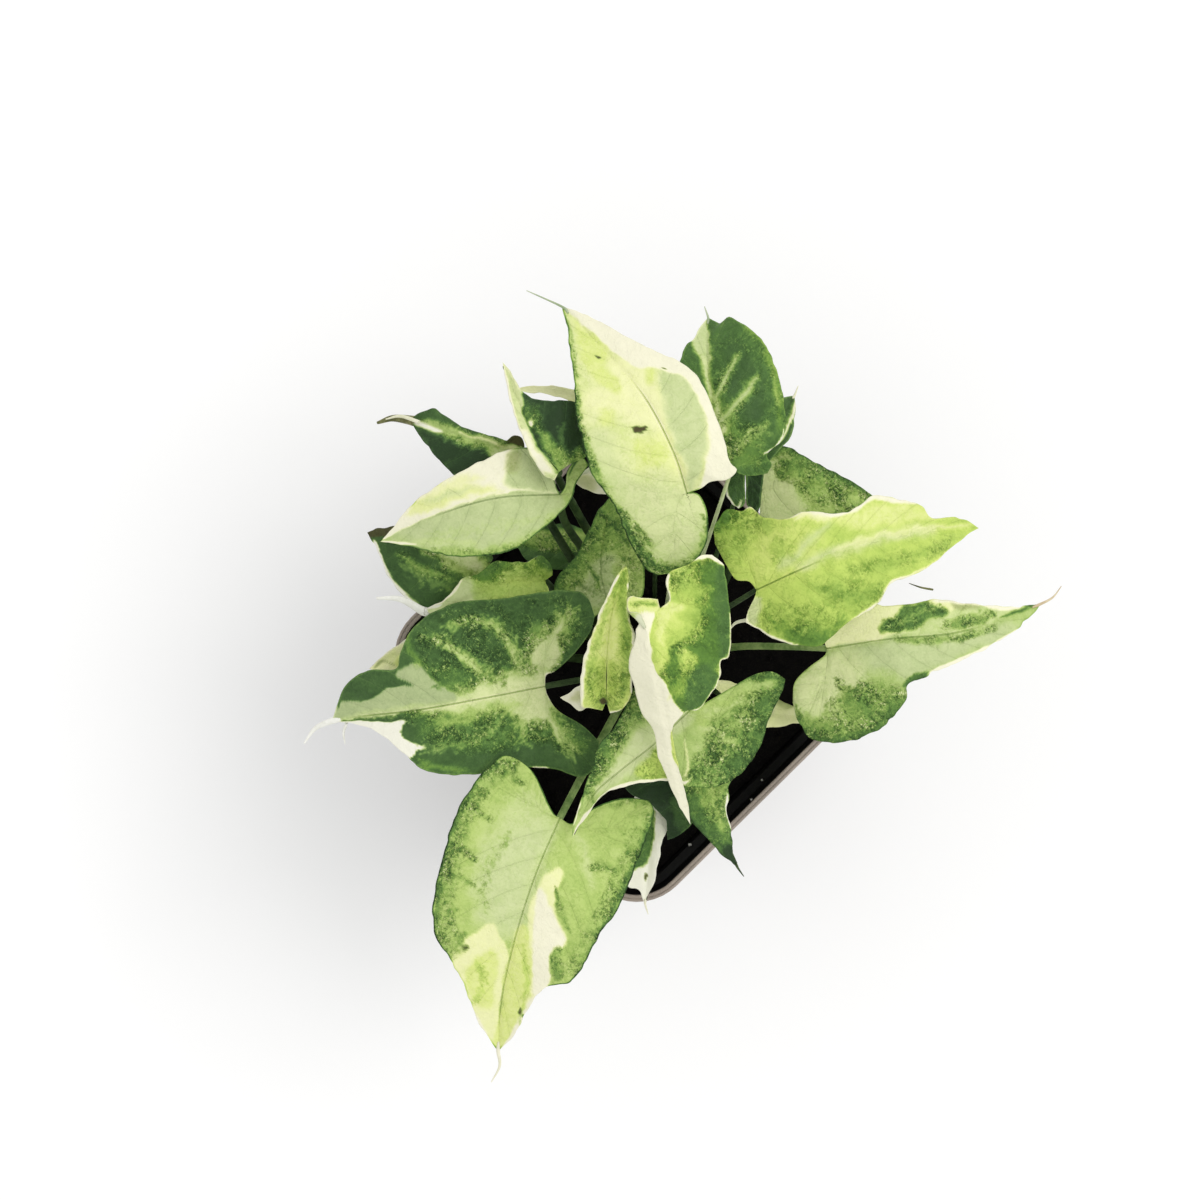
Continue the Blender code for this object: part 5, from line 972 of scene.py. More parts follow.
leaves["leaf_21"] = dict(
    base="deepDust", hem=0.3, tailTone="shade", fold=0.12, sag=0.012, wave=0.3,
    stalk=[(9, -10), (14, -18, 18)],
    rib=[(19, -26, 38), (20.5, -36, 41), (22.5, -46, 37), (27, -56.5, 29)],
    left=[(22, -25), (27, -26), (27, -30), (24.3, -34.5), (24.5, -37.5), (23.8, -41), (25.2, -46.5),
        (25.6, -51.5)],
    right=[(16, -25), (12, -28), (11.5, -34), (13.2, -40.5), (15, -44.8), (18.5, -48.5), (22.5, -52.8)],
    tail=[(28.6, -58.8, 27)],
    patches=[
        ("moss", 2.4, [(16, -33), (24, -33), (23, -40), (23.6, -47), (20, -44), (17, -40)]),
        ("night", 1.6, [(22, -51), (27.6, -50), (29, -58), (26, -57)])],
    streaks=[
        ("dark", 1.4, 0.7, [(12.6, -36), (14.4, -43), (18.8, -48)]),
        ("fresh", 1.4, 0.4, [(19.5, -30), (20.5, -38), (22.5, -46)]),
        ("white", 0.4, 0.45, [(24.2, -36.6), (23.9, -40.6), (25.3, -46)])],
    feathers=[
        ("deep", 0.7, 0.3, [(15, -36), (17, -43), (22, -50)], 60, 3)])
leaves["leaf_22"] = dict(
    base="night", hem=-0.3, fold=0.05, wave=0.2,
    stalk=[(4, -9), (6, -15, 12)],
    rib=[(8, -22, 28), (9, -32, 31), (9.5, -41, 29), (8, -49, 25)],
    left=[(11, -22), (16, -27), (17, -36), (15, -44), (10.8, -47.7)],
    right=[(4.5, -22), (-1, -27), (-4, -33), (-1, -37), (4, -39.7), (7.5, -44)],
    patches=[
        ("dark", 2, [(9, -38), (16, -34), (17, -42), (12, -48)])])
leaves["leaf_23"] = dict(
    base="white", hem=-0.2, tailTone="cream", wave=0.2,
    stalk=[(0, -12.5), (2, -21, 6)],
    rib=[(4, -34, 20), (3.8, -45, 23), (2.8, -56, 20), (2, -66.3, 15)],
    left=[(6, -33), (8.5, -38), (8.2, -45), (6.5, -49.5), (5.7, -54), (4.4, -60.5), (2.8, -63.5)],
    right=[(1.5, -33), (-1, -38), (-0.5, -46), (-2, -54), (-3.2, -60.8), (0.3, -62.6)],
    tail=[(2.8, -69, 14)],
    patches=[
        ("deep", 0.6, [(4.5, -41), (4, -48), (2.8, -54), (0, -57), (-2.5, -57), (-1, -49), (1.5, -42)]),
        ("rust", 0.4, [(1.8, -58), (2.6, -58), (2.4, -59.6), (1.8, -59.4)])])
leaves["leaf_24"] = dict(
    base="ivory", hem=0, fold=0.05, wave=0.2,
    stalk=[(14, -4.5), (22, -9, 18)],
    rib=[(30, -14, 34), (37, -15, 36), (44, -15.5, 34), (50, -15, 30)],
    left=[(28, -12), (24, -10.5), (20.5, -7.6), (21.5, -6), (27.5, -6.8), (31, -9), (37.5, -11),
        (42.5, -12.8), (48, -13)],
    right=[(31, -17), (35.5, -18.7), (42, -17.6), (48, -17.2)],
    patches=[
        ("tanPale", 2, [(28, -8), (36, -10), (36, -16), (30, -15)]),
        ("tan", 1.6, [(37, -10), (42, -11), (41, -13), (37, -12)])])
leaves["leaf_25"] = dict(
    base="cream", hem=-0.2, wave=0,
    stalk=[(-9.5, -8.5), (-10.5, -8.8, 30)],
    rib=[(-12, -8, 50), (-16, -10.3, 52), (-21, -10.5, 51)],
    left=[(-12.5, -11.5), (-15.6, -14), (-18, -12.3)],
    right=[(-12.5, -6), (-15.8, -7.3), (-18.8, -9.3)],
    patches=[
        ("tanPale", 1.6, [(-12, -9), (-16, -9), (-18, -11), (-14, -12)])])

# How a blade is built, in millimetres and in shares of its length, and how much its skin rolls.
bladeMake = dict(
    step=0.6, leastAhead=12, leastBack=6, leastAcross=6, marginSteps=16, thick=0.42, weld=0.004,
    backLeast=0.8,  # an outline that reaches less far behind the stalk's end has no back lobe
    rearEdge=0.35, edgeLeast=0.05, waveTurn=14.0, waveFull=8.0, wavePhase=7,
    frillSize=1.9, frillFull=14, frillSeeds=(61, 62),
    groove=0.30, grooveWidth=0.95, grooveTone=0.3, ribGroove=0.46, ribWidth=0.9,
    roll=0.42, rollSize=6.0, rollSeed=40, calmRib=4.0, ripple=0.12, rippleSize=2.4)
# Side veins leave the rib a spacing apart. In a back lobe a stem runs between the sinus and the
# margin, and lobe veins leave it. All but the numbers of marks and the spacing are shares.
veinMake = dict(
    marks=8, spacing=9, first=0.4, last=0.3, ribShare=0.9, ahead=0.05, lean=0.11, leanMore=0.12,
    length=0.97, bend=0.14, thin=0.9, nearWidth=1.3, stemEnd=0.9, stemMarks=10,
    stemTurn=2.2, stemOut=0.45, lobeShares=(0.28, 0.52, 0.74), lobeAhead=0.1,
    lobeOut=(0.86, 0.96, 0.12), lobeIn=(0.78, 0.92, 0.10))  # reach, length, bend
# How paint frays into its neighbour and breaks up into specks, sizes in millimetres. Seeds are added
# to the leaf's number. unevenness: rise, size, seed.
paintMake = dict(
    unevenness=[(0.035, 6.0, 0), (0.02, 2.0, 1)], wideFray=3.0, fineFray=0.9, fineShare=0.4,
    patchFray=(0.3, 0.3, 1.0), streakFray=(0.15, 0.3, 0.8),  # least, more by softness, most
    streakTaper=0.55, strokeFrom=(0.02, 0.98), strokeLook=0.04, strokeLean=(0.15, 0.85),
    strokeLeast=0.35, strokeWide=1.1, strokeTaper=0.7, strokeSoft=0.9, strokeFray=0.5,
    lineSteps=6, specks=0.14, specksMost=0.42, speckSoft=0.9, speckFrom=0.45, speckOver=0.15,
    stepTurn=3, wideSeeds=(2, 3), fineSeeds=(4, 5))
# Stalks, midribs, tails and spurs: radii, depths and steps in millimetres, against the pot's rim.
stalkMake = dict(foot=1.3, neck=0.95, ribEnd=0.42, cover=0.62, taper=0.7, soilTop=-16.0, crown=1.6,
                 rootDepth=11.0, gap=0.3, step=1.2, leastMarks=8, roundness=3, threadSteps=8,
                 tailFrom=0.96, tailSwell=4, tailTaper=0.75, tailPower=1.5, tailLower=0.8, spurTaper=0.7)


def layHalf(leaf, outline):  # the lines that one half of a blade hangs between
    rib = curveThrough(leaf["rib"])
    base = rib[0, :2]
    tip = rib[-1, :2]
    backward = (rib[0] - rib[1])[:2]
    backward = backward / np.linalg.norm(backward)
    reaches = [float(np.dot(np.array(point) - base, backward)) for point in outline]
    rear = int(np.argmax(reaches))
    sinus = None
    backShare = 0.0
    if reaches[rear] > bladeMake["backLeast"]:
        sinus = curveThrough([outline[rear], *reversed(outline[:rear]), base])
        margin = curveThrough([*outline[rear:], tip], bladeMake["marginSteps"])
        backReach = reachAlong(sinus)[-1]
        backShare = backReach / (backReach + reachAlong(rib[:, :2])[-1])
    else:
        margin = curveThrough([base, *outline, tip], bladeMake["marginSteps"])
    # the margin is never quite even
    share = reachAlong(margin)
    share = share / share[-1]
    frill = leaf["frill"] * smooth(np.minimum(share, 1 - share) * bladeMake["frillFull"])
    push = [cloud(*margin.T, bladeMake["frillSize"], seed) for seed in bladeMake["frillSeeds"]]
    margin = margin + frill[:, None] * np.stack(push, axis=-1)
    return dict(rib=rib, sinus=sinus, margin=margin, backShare=backShare)


def wayFrom(line, share, ahead):  # a point of a line and the way the line leads on from it
    start = pointsAt(line, share)[:2]
    forward = pointsAt(line, share + ahead)[:2] - start
    return start, forward / max(np.linalg.norm(forward), 1e-6)


def archOf(start, end, forward, bend):  # a vein that leaves its stem steeply and then leans forward
    chord = end - start
    middle = start + chord * 0.5 - forward * np.linalg.norm(chord) * bend
    t = np.linspace(0, 1, veinMake["marks"] + 1)[:, None]
    return (1 - t) ** 2 * start + 2 * t * (1 - t) * middle + t ** 2 * end


def veinsOf(half):
    make = veinMake
    rib, margin, sinus, backShare = [half[key] for key in ("rib", "margin", "sinus", "backShare")]
    veins = []
    count = max(3, round(reachAlong(rib[:, :2])[-1] / make["spacing"]))
    for index in range(count):
        share = (index + make["first"]) / (count + make["last"]) * make["ribShare"]
        start, forward = wayFrom(rib, share, make["ahead"])
        outShare = min(1.0, share + make["lean"] + make["leanMore"] * (1 - share))
        edge = pointsAt(margin, backShare + (1 - backShare) * outShare)
        end = start + (edge - start) * make["length"]
        veins.append(archOf(start, end, forward, make["bend"]))
    if sinus is not None:
        t = np.linspace(0, make["stemEnd"], make["stemMarks"])
        inner = pointsAt(sinus, 1 - t)
        outer = pointsAt(margin, backShare * (1 - t))
        weight = smooth(t * make["stemTurn"])[:, None]
        stem = rib[0, :2] * (1 - weight) + (inner + (outer - inner) * make["stemOut"]) * weight
        veins.append(stem)
        for share in make["lobeShares"]:
            start, forward = wayFrom(stem, share, make["lobeAhead"])
            for line, whole, (reach, length, bend) in ((margin, backShare, make["lobeOut"]),
                                                       (sinus, 1.0, make["lobeIn"])):
                end = start + (pointsAt(line, whole * max(0.0, reach - share)) - start) * length
                veins.append(archOf(start, end, forward, bend))
    return veins


def spreadHalf(leaf, half, phase):  # rows of points from the back of the lobe to the tip
    make = bladeMake
    rib, margin, sinus, backShare = [half[key] for key in ("rib", "margin", "sinus", "backShare")]
    rowsBack = 0
    ahead = np.linspace(0, 1, max(make["leastAhead"], round(reachAlong(rib[:, :2])[-1] / make["step"])) + 1)
    inner = pointsAt(rib, ahead)
    outShares = backShare + (1 - backShare) * ahead
    if sinus is not None:
        rowsBack = max(make["leastBack"], round(reachAlong(sinus)[-1] / make["step"]))
        backSteps = np.arange(rowsBack) / rowsBack
        backInner = pointsAt(sinus, backSteps)
        fall = leaf["drop"] * np.linalg.norm(backInner - rib[0, :2], axis=1)
        inner = np.concatenate([np.column_stack([backInner, rib[0, 2] - fall]), inner])
        outShares = np.concatenate([backShare * backSteps, outShares])
    span = pointsAt(margin, outShares) - inner[:, :2]
    length = np.linalg.norm(span, axis=1)
    share = np.linspace(0, 1, max(make["leastAcross"], round(float(length.max()) / make["step"])) + 1)
    x = inner[:, 0, None] + span[:, 0, None] * share
    y = inner[:, 1, None] + span[:, 1, None] * share
    reach = length[:, None] * share
    wave = leaf["wave"] * np.sin(outShares * make["waveTurn"] + phase)
    fade = np.minimum(1.0, length / make["waveFull"])
    height = (inner[:, 2, None] + leaf["fold"] * reach - leaf["sag"] * reach ** 2
              + (wave * fade)[:, None] * share ** 2)
    edge = length[:, None] * (1 - share)
    if rowsBack:
        number = np.arange(len(outShares))[:, None]
        edge = np.where(number < rowsBack, np.minimum(edge, reach), edge)
        edge = np.minimum(edge, make["rearEdge"] * number * make["step"] + make["edgeLeast"])
    return dict(x=x, y=y, height=height, edge=edge)


def blendTone(paint, tone, share, soft):  # wide edges break up into specks
    make = paintMake
    wanted = np.array(tones[tone])
    step = np.minimum(1, make["stepTurn"] * np.abs(paint[:, 0] - wanted[0]))
    step = step * smooth((np.maximum(paint[:, 0], wanted[0]) - make["speckFrom"]) / make["speckOver"])
    paint = paint * (1 - share) + wanted * share
    if soft > make["speckSoft"]:
        specks = min(make["specksMost"], make["specks"] * soft) * 4
        paint[:, 2] += specks * (share * (1 - share))[:, 0] * step
    return paint


def featherStrokes(line, count, length, seed):  # short strokes leave a line on both sides
    make = paintMake
    random = np.random.default_rng(seed)
    at = random.uniform(*make["strokeFrom"], count)
    starts = pointsAt(line, at)
    look = make["strokeLook"]
    ahead = pointsAt(line, np.minimum(at + look, 1.0)) - pointsAt(line, np.maximum(at - look, 0.0))
    lean = random.uniform(*make["strokeLean"], count) * random.choice([-1, 1], count)
    angle = np.arctan2(ahead[:, 1], ahead[:, 0]) + lean
    reach = length * random.uniform(make["strokeLeast"], 1.0, count)
    return starts, starts + np.stack([np.cos(angle), np.sin(angle)], axis=-1) * reach[:, None]


def frayFor(soft, least, more, most):
    return min(most, least + more * soft)


def paintBlade(leaf, seed, x, y):
    make = paintMake
    paint = np.tile(np.array(tones[leaf["base"]], float), (len(x), 1))
    for rise, size, turn in make["unevenness"]:
        paint[:, 0] += rise * cloud(x, y, size, seed + turn)
    wideX, wideY = [cloud(x, y, make["wideFray"], seed + turn) for turn in make["wideSeeds"]]
    fineX, fineY = [cloud(x, y, make["fineFray"], seed + turn) for turn in make["fineSeeds"]]
    frayX = wideX + make["fineShare"] * fineX
    frayY = wideY + make["fineShare"] * fineY
    for tone, soft, outline in leaf["patches"]:
        fray = frayFor(soft, *make["patchFray"])
        depth = depthInside(x + fray * frayX, y + fray * frayY, outline)
        paint = blendTone(paint, tone, smooth(depth / soft + 0.5)[:, None], soft)
    for tone, soft, halfWidth, line in leaf["streaks"]:
        fray = frayFor(soft, *make["streakFray"])
        route = curveThrough(line, make["lineSteps"])
        distance, _, at = nearestOn(x + fray * frayX, y + fray * frayY, route[:-1], route[1:])
        middle = np.abs(2 * at / (len(route) - 1) - 1)
        width = halfWidth * (1 - make["streakTaper"] * middle ** 4)
        paint = blendTone(paint, tone, smooth((width - distance) / soft + 0.5)[:, None], soft)
    for tone, strength, halfWidth, line, count, length in leaf["feathers"]:
        stray = make["strokeFray"]
        starts, ends = featherStrokes(curveThrough(line, make["lineSteps"]), count, length, seed)
        distance, _, at = nearestOn(x + stray * fineX, y + stray * fineY, starts, ends)
        width = halfWidth * (make["strokeWide"] - make["strokeTaper"] * (at % 1))
        share = strength * smooth((width - distance) / make["strokeSoft"] + 0.5)[:, None]
        paint = blendTone(paint, tone, share, 1.0)
    return paint


def addHalfBlade(number, leaf, half, veins, side):
    make = bladeMake
    spread = spreadHalf(leaf, half, make["wavePhase"] + 2 * side)
    if side < 0:
        spread = {key: values[:, ::-1] for key, values in spread.items()}
    rows, columns = spread["x"].shape
    x, y, height, edge = [spread[key].T.ravel() for key in ("x", "y", "height", "edge")]
    starts = np.concatenate([vein[:-1] for vein in veins])
    ends = np.concatenate([vein[1:] for vein in veins])
    distance, passed, at = nearestOn(x, y, starts, ends)
    thin = 1 + veinMake["thin"] * ((at % veinMake["marks"]) / veinMake["marks"])  # away from the stem
    rib = half["rib"]
    fromRib, ribSide, ribAt = nearestOn(x, y, rib[:-1, :2], rib[1:, :2])
    ribDark, fadeFrom, fadeTo = leaf["ribLine"]
    groove = make["groove"] * np.exp(-(distance / make["grooveWidth"]) ** 2) / thin
    ribGroove = make["ribGroove"] * np.exp(-(fromRib / make["ribWidth"]) ** 2)
    seed = number + make["rollSeed"]
    paint = paintBlade(leaf, number, x, y)
    roll = make["roll"] * smooth(fromRib / make["calmRib"])
    height = (height - np.maximum(groove * smooth(paint[:, 0] / make["grooveTone"]), ribGroove)
              + roll * cloud(x, y, make["rollSize"], seed)
              + make["ripple"] * cloud(x, y, make["rippleSize"], seed + 1))
    selectOnly()
    bpy.ops.mesh.primitive_grid_add(x_subdivisions=rows - 1, y_subdivisions=columns - 1, size=mm,
                                    calc_uvs=False)
    piece = bpy.context.object
    mesh = piece.data
    mesh.vertices.foreach_set("co", place(x, y, height).astype(np.float32).ravel())
    ribFade = smooth((ribAt / (len(rib) - 1) - fadeFrom) / (fadeTo - fadeFrom))
    values = dict(green=paint[:, 0], yellow=paint[:, 1], dust=paint[:, 2], rust=paint[:, 3],
                  rib=fromRib * ribSide, vein=distance * passed * thin, edge=edge,
                  near=np.exp(-(distance / veinMake["nearWidth"]) ** 2),
                  hem=np.full(len(x), leaf["hem"]), ribDark=ribDark * (1 - ribFade))
    for key, numbers in values.items():
        mesh.attributes.new(key, "FLOAT", "POINT").data.foreach_set("value", numbers.astype(np.float32))
    return piece


def stalkRoute(leaf):  # marks and radii of the stalk and of the midrib under the blade
    make = stalkMake
    footX, footY = leaf["stalk"][0]
    foot = place(np.float64(footX), np.float64(footY), make["soilTop"])
    rooted = foot + np.array([[0, 0, make["gap"] - make["rootDepth"]], [0, 0, make["crown"]]]) * mm
    rib = curveThrough(leaf["rib"])
    climb = curveThrough([(footX, footY, make["soilTop"] + make["crown"]), *leaf["stalk"][1:], rib[0]])
    steps = reachAlong(climb)
    count = max(make["leastMarks"], round(steps[-1] / make["step"]))
    climbShare = np.arange(1, count) / count
    climbMarks = np.stack([np.interp(climbShare * steps[-1], steps, climb[:, axis]) for axis in range(3)])
    climbRadii = make["foot"] + (make["neck"] - make["foot"]) * climbShare
    ribCount = max(make["leastMarks"], round(reachAlong(rib[:, :2])[-1] / make["step"]))
    ribShare = np.arange(ribCount) / ribCount
    ribRadii = make["neck"] + (make["ribEnd"] - make["neck"]) * ribShare ** make["taper"]
    lower = np.concatenate([(make["neck"] + make["cover"]) * climbShare ** 2, ribRadii + make["cover"]])
    points = place(*np.concatenate([climbMarks, pointsAt(rib, ribShare).T], axis=1))
    points[:, 2] -= lower * mm
    radii = np.concatenate([[make["foot"]] * 2, climbRadii, ribRadii])
    return np.concatenate([rooted, points]), radii * mm * leaf["slim"]


def tailRoute(leaf):  # the thread that the tip runs out in
    make = stalkMake
    rib = curveThrough(leaf["rib"])
    tail = curveThrough([pointsAt(rib, make["tailFrom"]), rib[-1], *leaf["tail"]], make["threadSteps"])
    share = np.linspace(0, 1, len(tail))
    points = place(*tail.T)
    swell = 0.5 + 0.5 * smooth(share * make["tailSwell"])
    radii = leaf["tailWide"] * swell * (1 - make["tailTaper"] * share ** make["tailPower"]) * mm
    points[:, 2] -= radii * make["tailLower"]
    return points, radii


def spurRoute(wide, line):
    spine = curveThrough(line, stalkMake["threadSteps"])
    share = np.linspace(0, 1, len(spine))
    return place(*spine.T), wide * (1 - stalkMake["spurTaper"] * share ** 2) * mm


def addTube(name, tone, points, radii):
    selectOnly()
    bpy.ops.curve.primitive_nurbs_path_add(radius=mm)
    route = bpy.context.object.data
    route.splines.clear()
    line = route.splines.new("POLY")
    line.points.add(len(points) - 1)
    line.points.foreach_set("co", np.column_stack([points, np.ones(len(points))]).ravel())
    line.points.foreach_set("radius", radii)
    line.use_smooth = True
    route.dimensions = "3D"
    route.bevel_depth = 1.0
    route.bevel_resolution = stalkMake["roundness"]
    route.use_fill_caps = True
    bpy.ops.object.convert(target="MESH")
    nameAndDress(bpy.context.object, name, stalkFinishes[tone])
    return bpy.context.object


def makeLeaf(node, leaf):
    number = int(node[-2:])
    name = "blade" + node[-2:]
    halves = {1: layHalf(leaf, leaf["left"]), -1: layHalf(leaf, leaf["right"])}
    veins = veinsOf(halves[1]) + veinsOf(halves[-1])
    blade = joinPieces([addHalfBlade(number, leaf, half, veins, side) for side, half in halves.items()])
    editMesh(bpy.ops.mesh.remove_doubles, threshold=bladeMake["weld"] * mm)
    nameAndDress(blade, name, leafFinish, leafBelowFinish)
    applyModifier(blade, "SOLIDIFY", thickness=bladeMake["thick"] * mm, offset=-1,
                  use_even_offset=False, material_offset=1, material_offset_rim=0)
    parts = [blade, addTube(name + "Stalk", leaf["sheath"], *stalkRoute(leaf))]
    if leaf["tail"]:
        parts.append(addTube(name + "Tail", leaf["tailTone"], *tailRoute(leaf)))
    for tone, wide, line in leaf["spurs"]:
        parts.append(addTube(name + "Spur", tone, *spurRoute(wide, line)))
    joinPieces(parts)
    settlePlace(blade)
    bpy.ops.object.shade_smooth()
    blade.data.name = name
    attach(blade, "root")
    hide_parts(node)


leafFinish = makeLeafFinish("leafSkin")
leafBelowFinish = makeLeafFinish("leafBelow", below=True)
stalkFinishes = {key: makeStalkFinish("stalk" + key.capitalize(), *pair)
                 for key, pair in stalkTones.items()}
for node, leaf in leaves.items():
    makeLeaf(node, {**usualLeaf, **leaf})
print("leaves: built and painted", len(leaves))

# The pot's wall as rings, from the middle of the base out, over the rim and down inside:
# half width, corner radius, height, all in millimetres. skins: colour, share of fine speckle.
pot = dict(
    rings=[(36.2, 10.2, 0.0), (37.0, 11.0, 0.8), (47.6, 12.4, 77.0), (49.7, 14.4, 77.6),
           (50.2, 14.6, 87.4), (51.0, 15.4, 88.0), (51.0, 15.4, 89.6), (50.6, 15.0, 90.0),
           (50.25, 14.65, 89.98), (50.1, 14.5, 89.72), (49.95, 14.35, 89.92), (49.35, 13.75, 89.97),
           (49.1, 13.5, 89.7), (48.6, 13.0, 79.2), (46.4, 10.8, 78.0), (35.8, 9.8, 2.0)],
    cornerSteps=10, drainRadius=4.0, drainOut=24.0, drainDepth=8.0, drainSides=32,
    softEdge=0.12, edgeSteps=2, sharpFrom=28, smoothTo=35,  # angles in degrees
    rimFrom=89.35, floorTop=2.1, ledgeUnder=80.0, upwardFrom=0.5,  # where the skins change
    # potRimPaintedSheen: the rim's top is coloured much lighter than the same dark plastic, as painted
    # sheen of the lit rim
    skins=dict(potOuter=((0.085, 0.070, 0.060), 0.4), potRimPaintedSheen=((0.30, 0.255, 0.215), 0.6),
               # potInsidePaintedShade: the inner wall, ledge and floor are coloured near black as painted
               # shade, far darker than the same plastic outside
               potInsidePaintedShade=((0.0035, 0.003, 0.0028), 0.5)),
    speckle=(2600, 2, 0.6), cloudy=(90, 3), darker=0.78, brighter=1.2, span=(0.35, 0.65),
    rough=0.36, roughSpeckle=0.14, roughCloudy=0.06, riseSpeckle=0.6, depth=0.00008, strength=0.5,
    specular=0.2)


def addRing(half, corner, height):
    selectOnly()
    bpy.ops.mesh.primitive_plane_add(size=2 * half * mm, location=(0, 0, height * mm), calc_uvs=False)
    ring = bpy.context.object
    editMesh(bpy.ops.mesh.bevel, offset=corner * mm, segments=pot["cornerSteps"], affect="VERTICES",
             profile=0.5)
    editMesh(bpy.ops.mesh.delete, type="ONLY_FACE")
    settlePlace(ring)
    return ring


def selectEdges(mesh, lowest, highest):  # edges whose two ends are numbered within the range
    mesh.vertices.foreach_set("select", np.zeros(len(mesh.vertices), bool))
    mesh.polygons.foreach_set("select", np.zeros(len(mesh.polygons), bool))
    for edge in mesh.edges:
        edge.select = all(lowest <= number < highest for number in edge.vertices)


def makeWall():
    wall = addRing(*pot["rings"][0])
    count = len(wall.data.vertices)
    bpy.context.tool_settings.mesh_select_mode = (False, True, False)
    for number, ring in enumerate(pot["rings"][1:]):
        joinPieces([wall, addRing(*ring)])
        selectEdges(wall.data, number * count, (number + 2) * count)
        editMesh(bpy.ops.mesh.bridge_edge_loops, everything=False)
    for number in (0, len(pot["rings"]) - 1):
        selectEdges(wall.data, number * count, (number + 1) * count)
        editMesh(bpy.ops.mesh.edge_face_add, everything=False)
    bpy.context.tool_settings.mesh_select_mode = (True, False, False)
    editMesh(bpy.ops.mesh.normals_make_consistent, inside=False)
    return wall


def makeDrains():  # what the holes in the floor are cut with
    drains = []
    for x in (-pot["drainOut"], pot["drainOut"]):
        for y in (-pot["drainOut"], pot["drainOut"]):
            selectOnly()
            bpy.ops.mesh.primitive_cylinder_add(
                vertices=pot["drainSides"], radius=pot["drainRadius"] * mm,
                depth=pot["drainDepth"] * mm, location=(x * mm, y * mm, 0))
            settlePlace(bpy.context.object)
            drains.append(bpy.context.object)
    return joinPieces(drains)


def makePot():
    wall = makeWall()
    cutter = makeDrains()
    applyModifier(wall, "BOOLEAN", operation="DIFFERENCE", object=cutter, solver="EXACT")
    bpy.data.objects.remove(cutter, do_unlink=True)
    applyModifier(wall, "BEVEL", width=pot["softEdge"] * mm, segments=pot["edgeSteps"],
                  limit_method="ANGLE", angle_limit=math.radians(pot["sharpFrom"]))
    selectOnly(wall)
    bpy.ops.object.shade_smooth_by_angle(angle=math.radians(pot["smoothTo"]))
    nameAndDress(wall, "potWall", *[makePotFinish(name, *skin) for name, skin in pot["skins"].items()])
    # faces on the rim's top get the painted sheen skin, faces inside the pot the painted shade skin
    for face in wall.data.polygons:
        middle = face.center
        inward = face.normal.x * middle.x + face.normal.y * middle.y < 0
        upward = face.normal.z > pot["upwardFrom"]
        if middle.z > pot["rimFrom"] * mm:
            face.material_index = 1
        elif (inward and middle.z > pot["floorTop"] * mm) or (upward and middle.z < pot["ledgeUnder"] * mm):
            face.material_index = 2
    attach(wall, "root")
    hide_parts("pot")


def makePotFinish(name, colour, unevenness):
    material, sheet = newFinish(name)
    speckle = sheet.grain(*pot["speckle"])
    cloudy = sheet.grain(*pot["cloudy"])
    share = speckle * unevenness + cloudy * (1 - unevenness)
    colours = [tuple(value * part for value in colour) for part in (pot["darker"], pot["brighter"])]
    surface(sheet, share.ramp(list(zip(pot["span"], colours))),
            pot["rough"] + speckle * pot["roughSpeckle"] + cloudy * pot["roughCloudy"],
            speckle * pot["riseSpeckle"] + cloudy, pot["depth"], pot["strength"], pot["specular"])
    return material


makePot()
print("pot: wall, rim and drains")

# Loose top of the soil, its crumbs and the white grit in it, in millimetres.
soil = dict(
    half=45.6, corner=10.6, top=74.0, rise=0.5, crown=1.3, cells=124, thick=2.2,
    bumps=[(0.8, 4.5, 71), (0.5, 1.9, 72), (0.25, 0.9, 73)],  # height, size, seed
    crumbs=260, crumbSize=(0.5, 1.5), crumbMargin=3.5, crumbCorner=1.8, crumbSeed=5,
    lumpSwell=0.28, lumpStretch=(0.65, 1.25), lumpRise=0.25, lumpSeed=17,
    # white grit: right, up, height against the rim, size; some sticks to the wall
    wallFrom=-14,
    grit=[(34.3, -16.3, -15, 0.55), (33.5, -32.8, -11, 0.42), (30.8, -38.2, -2.4, 0.4),
          (14.0, -50.3, -11.8, 0.38), (25.5, -20.5, -15, 0.3), (-44.0, -8.0, -15, 0.35),
          (-30.5, 9.5, -15, 0.3), (8.5, 34.0, -15, 0.35), (27.0, 10.0, -15, 0.4)],
    body=(0.008, 0.006, 0.005), loose=(0.005, 0.004, 0.0035), darkest=(0.0006, 0.0005, 0.0004),
    lumps=(420, 4, 0.65), fine=(2400, 3, 0.7), lumpShare=0.6, fineShare=0.5, span=(0.38, 0.72),
    rough=0.86, roughMore=0.14, depth=0.0006, strength=0.8, specular=0.12,
    gritSkin=dict(colours=((0.30, 0.29, 0.27), (0.62, 0.61, 0.58)), pits=(5200, 2, 0.6),
                  span=(0.35, 0.65), rough=0.8, roughMore=0.15, depth=0.0002, strength=0.8,
                  specular=0.3))


def makeSoilFinish(name, lightest):
    material, sheet = newFinish(name)
    fine = sheet.grain(*soil["fine"])
    share = sheet.grain(*soil["lumps"]) * soil["lumpShare"] + fine * soil["fineShare"]
    surface(sheet, share.ramp(list(zip(soil["span"], (soil["darkest"], lightest)))),
            soil["rough"] + fine * soil["roughMore"], share, soil["depth"], soil["strength"],
            soil["specular"])
    return material


def makeGritFinish():
    make = soil["gritSkin"]
    material, sheet = newFinish("whiteGrit")
    pits = sheet.grain(*make["pits"])
    surface(sheet, pits.ramp(list(zip(make["span"], make["colours"]))),
            make["rough"] + pits * make["roughMore"], pits, make["depth"], make["strength"],
            make["specular"])
    return material


def soilHeight(x, y):
    crown = soil["crown"] * (1 - np.maximum(np.abs(x), np.abs(y)) / soil["half"])
    height = soil["top"] + soil["rise"] + crown
    for rise, size, seed in soil["bumps"]:
        height = height + rise * cloud(x, y, size, seed)
    return height


